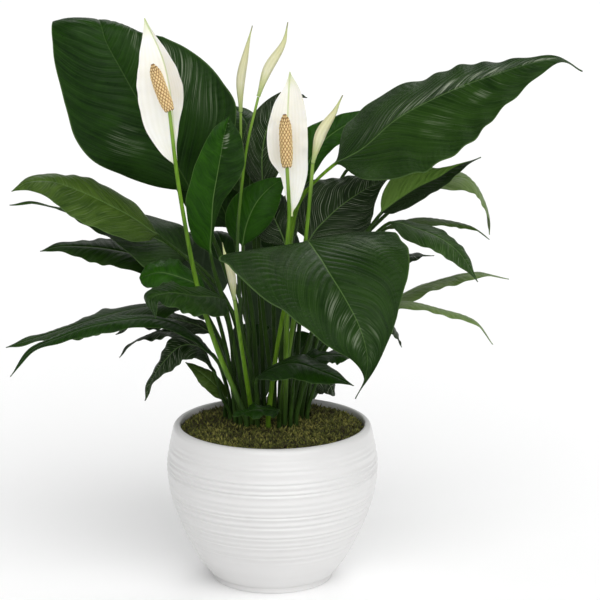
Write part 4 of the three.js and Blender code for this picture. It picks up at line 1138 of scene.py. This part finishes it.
def add_shines(shader, colour, leaf, along, across, glint):
    """Patches of streaked sheen, each an ellipse on the blade."""
    for q, s, reach_q, reach_s, strength in leaf["shines"]:
        u = shader.math("DIVIDE", shader.math("SUBTRACT", along, q), reach_q)
        v = shader.math("DIVIDE", shader.math("SUBTRACT", across, s), reach_s)
        distance = shader.math("ADD", shader.times(u, u), shader.times(v, v))
        near = shader.spread(distance, 1.0, 0.0, 0.0, strength)
        colour = shader.blend(shader.times(glint, near), colour, PAINTED_HIGHLIGHT)
    return colour


def add_rib(shader, colour, along, strength):
    """The pale midrib, which narrows and fades towards the tip."""
    width = shader.around(along, 1.0, -0.6)
    on_rib = shader.spread(shader.math("DIVIDE", shader.field("rib"), width), 1.0, 0.35)
    fading = shader.spread(along, 1.0, 0.5, 0.1 * strength, 0.6 * strength)
    return shader.blend(shader.times(on_rib, fading), colour, RIB_GREEN)


def leaf_material(name, leaf):
    shader = Shader(f"green_{name}")
    tone = TONES[leaf["tone"]]
    along, across, phase = shader.blade()
    under = shader.field("under")
    start = len(name) + 3.7 * sum(map(ord, name))
    broad = along_veins(shader, phase, across, 1.4, 1.5, start)
    streak = along_veins(shader, phase, across, STREAKS_PER_VEIN, 2.0, start + 5)
    patch = shader.noise(22, 4, distortion=0.6)
    grain = shader.noise(260, 2)
    # Painted light and shade: random patches and bands along the veins turn the green between its
    # shaded and its lit tone.
    value = shader.total((grain, 0.08), (patch, 0.35), (broad, 0.32), (streak, 0.25))
    colour = tone_colour(shader, value, leaf["tone"])
    # Painted shade: where a leaf has a second tone, its right half takes it as the shaded half.
    if leaf["other"]:
        right_half = shader.spread(across, -0.05, 0.05)
        colour = shader.blend(right_half, colour, tone_colour(shader, value, leaf["other"]))
    # Painted highlight: the side veins and the fine veins between them catch light as thin pale lines,
    # broken up by the streaks.
    fine = vein_line(shader, shader.times(phase, FINE_VEINS), FINE_VEIN_WIDTH)
    lines = shader.math("MAXIMUM", vein_line(shader, phase, SIDE_VEIN_WIDTH),
                        shader.times(fine, FINE_VEIN_SHARE))
    lines = shader.times(lines, shader.spread(streak, 0.38, 0.62))
    colour = shader.blend(shader.times(lines, tone["vein_highlight"]), colour, PAINTED_HIGHLIGHT)
    glint = shader.spread(shader.total((streak, 0.55), (broad, 0.45)), 0.50, 0.64)
    colour = add_shines(shader, colour, leaf, along, across, glint)
    colour = add_rib(shader, colour, along, tone["rib"])
    edge = shader.spread(shader.math("ABSOLUTE", across), 0.972, 0.994)
    colour = shader.blend(shader.times(edge, 0.35), colour, RIB_GREEN)
    pale = tuple(mix(c, UNDER_GREY, 0.25) for c in tone["high"])
    colour = shader.blend(shader.times(under, 0.7), colour, (*pale, 1))
    # Painted shade or light on the stalk: most stalks take the shaded green, the ones in the light the
    # lit green.
    pair = PETIOLE_LIT if leaf["bright"] else PETIOLE_SHADED
    stalk = shader.spread(along, 0.035, -0.01)
    colour = shader.blend(stalk, colour, petiole_colour(shader, pair))
    rough = shader.around(under, shader.around(grain, 0.22, 0.2), 0.18)
    shader.bump(shader.around(streak, grain, 2.0), 0.0003, 0.8)
    return shader.finish(Base_Color=colour, Roughness=rough, Specular_IOR_Level=0.09)


def stem_material():
    shader = Shader("stem_green")
    share = shader.blade()[0]
    # Painted shade and light: the stem is the shaded stalk green low in the clump and turns to the lit
    # stalk green higher up.
    dark, bright = petiole_colour(shader, PETIOLE_SHADED), petiole_colour(shader, PETIOLE_LIT)
    colour = shader.blend(shader.field("lit"), dark, bright)
    colour = shader.blend(shader.spread(share, 0.85, 1.0, 0.0, 0.7), colour, STEM_TOP)
    grain = shader.noise(300, 2)
    shader.bump(grain, 0.0001, 0.5)
    rough = shader.around(grain, 0.3, 0.2)
    return shader.finish(Base_Color=colour, Roughness=rough, Specular_IOR_Level=0.2)


def spathe_material():
    shader = Shader("spathe_cream")
    along, across, _ = shader.blade()
    lines = shader.around(shader.math("SINE", shader.times(across, 34)), 0.5, 0.5)
    patch = shader.noise(30, 3)
    colour = shader.ramp(patch, SPATHE_STOPS)
    colour = shader.blend(shader.times(lines, 0.12), colour, SPATHE_LINE)
    green = shader.times(shader.spread(shader.field("rib"), 1.3, 0.2), 0.55)
    colour = shader.blend(green, colour, SPATHE_RIB)
    ends = shader.math("ADD", shader.spread(along, 0.10, 0.0), shader.spread(along, 0.86, 1.0))
    colour = shader.blend(shader.times(ends, 0.55), colour, SPATHE_END)
    shader.bump(shader.around(shader.noise(220, 2), lines, 0.6), 0.00015, 0.5)
    rough = shader.around(patch, 0.4, 0.2)
    return shader.finish(Base_Color=colour, Roughness=rough, Subsurface_Weight=0.35,
                         Subsurface_Radius=(1.5, 1.3, 0.9), Subsurface_Scale=MM)


def bud_material():
    shader = Shader("bud_cream")
    share, _, turn = shader.blade()
    lines = shader.around(shader.math("SINE", shader.times(turn, 9)), 0.5, 0.5)
    colour = shader.ramp(share, BUD_STOPS)
    colour = shader.blend(shader.times(lines, 0.25), colour, BUD_LINE)
    shader.bump(lines, 0.00012, 0.5)
    rough = shader.around(shader.noise(200, 2), 0.38, 0.2)
    return shader.finish(Base_Color=colour, Roughness=rough, Subsurface_Weight=0.3,
                         Subsurface_Radius=(1.5, 1.3, 0.7), Subsurface_Scale=MM)


def spadix_material():
    shader = Shader("spadix_tan")
    tip = shader.field("tip")
    # The dark brown low between the florets and on the core is painted shade.
    colour = shader.ramp(shader.around(shader.noise(500, 2), tip, 0.25), SPADIX_STOPS)
    shader.bump(shader.noise(900, 2), 0.0001, 0.4)
    rough = shader.spread(tip, 0, 1, 0.75, 0.55)
    return shader.finish(Base_Color=colour, Roughness=rough, Subsurface_Weight=0.15,
                         Subsurface_Radius=(1.2, 0.8, 0.4), Subsurface_Scale=MM)


def glaze_material():
    shader = Shader("pearl_glaze")
    bands = shader.stretched(9)
    streak = shader.noise(7, 4, bands, 0.3)
    value = shader.total((streak, 0.5), (shader.noise(9, 3), 0.5))
    colour = shader.ramp(value, GLAZE_STOPS)
    shader.bump(shader.noise(60, 3, bands), 0.0002, 0.25)
    rough = shader.around(streak, 0.24, 0.16)
    return shader.finish(Base_Color=colour, Roughness=rough, Coat_Weight=0.2, Coat_Roughness=0.25)


def moss_material():
    shader = Shader("moss_green")
    tint = shader.field("tint")
    value = shader.total((tint, 0.45), (shader.noise(34, 3), 0.6))
    shade = shader.spread(shader.field("tip"), 0.0, 0.6, 0.75, 0.0)
    colour = shader.blend(shade, shader.ramp(value, MOSS_STOPS), MOSS_SHADE)
    return shader.finish(Base_Color=colour, Roughness=shader.spread(tint, 0, 1, 0.75, 0.95))


def soil_material():
    shader = Shader("soil_dark")
    crumb = shader.noise(240, 5)
    colour = shader.ramp(crumb, SOIL_STOPS)
    shader.bump(crumb, 0.0015, 0.8)
    return shader.finish(Base_Color=colour, Roughness=shader.spread(crumb, 0, 1, 0.8, 1.0))


STEM = stem_material()
SPATHE_WHITE = spathe_material()
BUD_WHITE = bud_material()
SPADIX = spadix_material()
GLAZE = glaze_material()
MOSS = moss_material()

# ---------------------------------------------------------------- assembly

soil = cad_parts["soil"]
soil.data.materials.clear()
soil.data.materials.append(soil_material())

build_pot()
build_moss()
for leaf_name, leaf_measures in LEAVES.items():
    build_leaf(leaf_name, leaf_measures)
for flower_name, flower in FLOWERS.items():
    build_stem(flower_name, flower)
    build_spathe(flower_name, flower["spathe"])
    build_spadix(flower_name, flower["spadix"])
for bud_name, bud_measures in BUDS.items():
    build_stem(bud_name, bud_measures)
    build_roll(bud_name, bud_measures)

# ---------------------------------------------------------------- floor, lights and camera

FLOOR_SIZE = 60.0
WORLD_STRENGTH = 0.40
# name, azimuth (0 is the viewer's side and 90 the object's right), elevation, energy, softness
SUNS = [
    ("key_front", 15, 42, 2.1, 70),
    ("side_left", -80, 38, 0.12, 60),
    ("side_right", 80, 38, 0.20, 60),
    ("top_back", 172, 45, 0.7, 35),
]
CAMERA_PLACE = (0.0277, -2.4, 0.8535)
CAMERA_PITCH_DOWN = 13.31
LENS_MM = 149.39
SENSOR_MM = 36.0


def build_floor():
    bpy.ops.mesh.primitive_plane_add(size=FLOOR_SIZE, location=(0, 0, 0))
    floor = bpy.context.active_object
    floor.name = "studio_floor"
    pale = Shader("studio_pale").finish(Base_Color=FLOOR_WHITE, Roughness=0.9)
    floor.data.materials.append(pale)


def light_world():
    world = bpy.data.worlds.new("studio")
    bpy.context.scene.world = world
    world.use_nodes = True
    background = world.node_tree.nodes["Background"]
    background.inputs["Color"].default_value = (1, 1, 1, 1)
    background.inputs["Strength"].default_value = WORLD_STRENGTH


def add_sun(name, azimuth, elevation, energy, softness):
    lamp = bpy.data.lights.new(name, "SUN")
    lamp.energy = energy
    lamp.angle = math.radians(softness)
    holder = bpy.data.objects.new(name, lamp)
    holder.rotation_euler = (math.radians(90 - elevation), 0, math.radians(azimuth))
    bpy.context.scene.collection.objects.link(holder)


def place_camera():
    lens = bpy.data.cameras.new("camera")
    lens.lens = LENS_MM
    lens.sensor_width = SENSOR_MM
    camera = bpy.data.objects.new("camera", lens)
    camera.location = CAMERA_PLACE
    camera.rotation_euler = (math.radians(90 - CAMERA_PITCH_DOWN), 0, 0)
    bpy.context.scene.collection.objects.link(camera)
    bpy.context.scene.camera = camera


build_floor()
light_world()
for measures in SUNS:
    add_sun(*measures)
place_camera()
bpy.context.scene.view_settings.view_transform = "Standard"
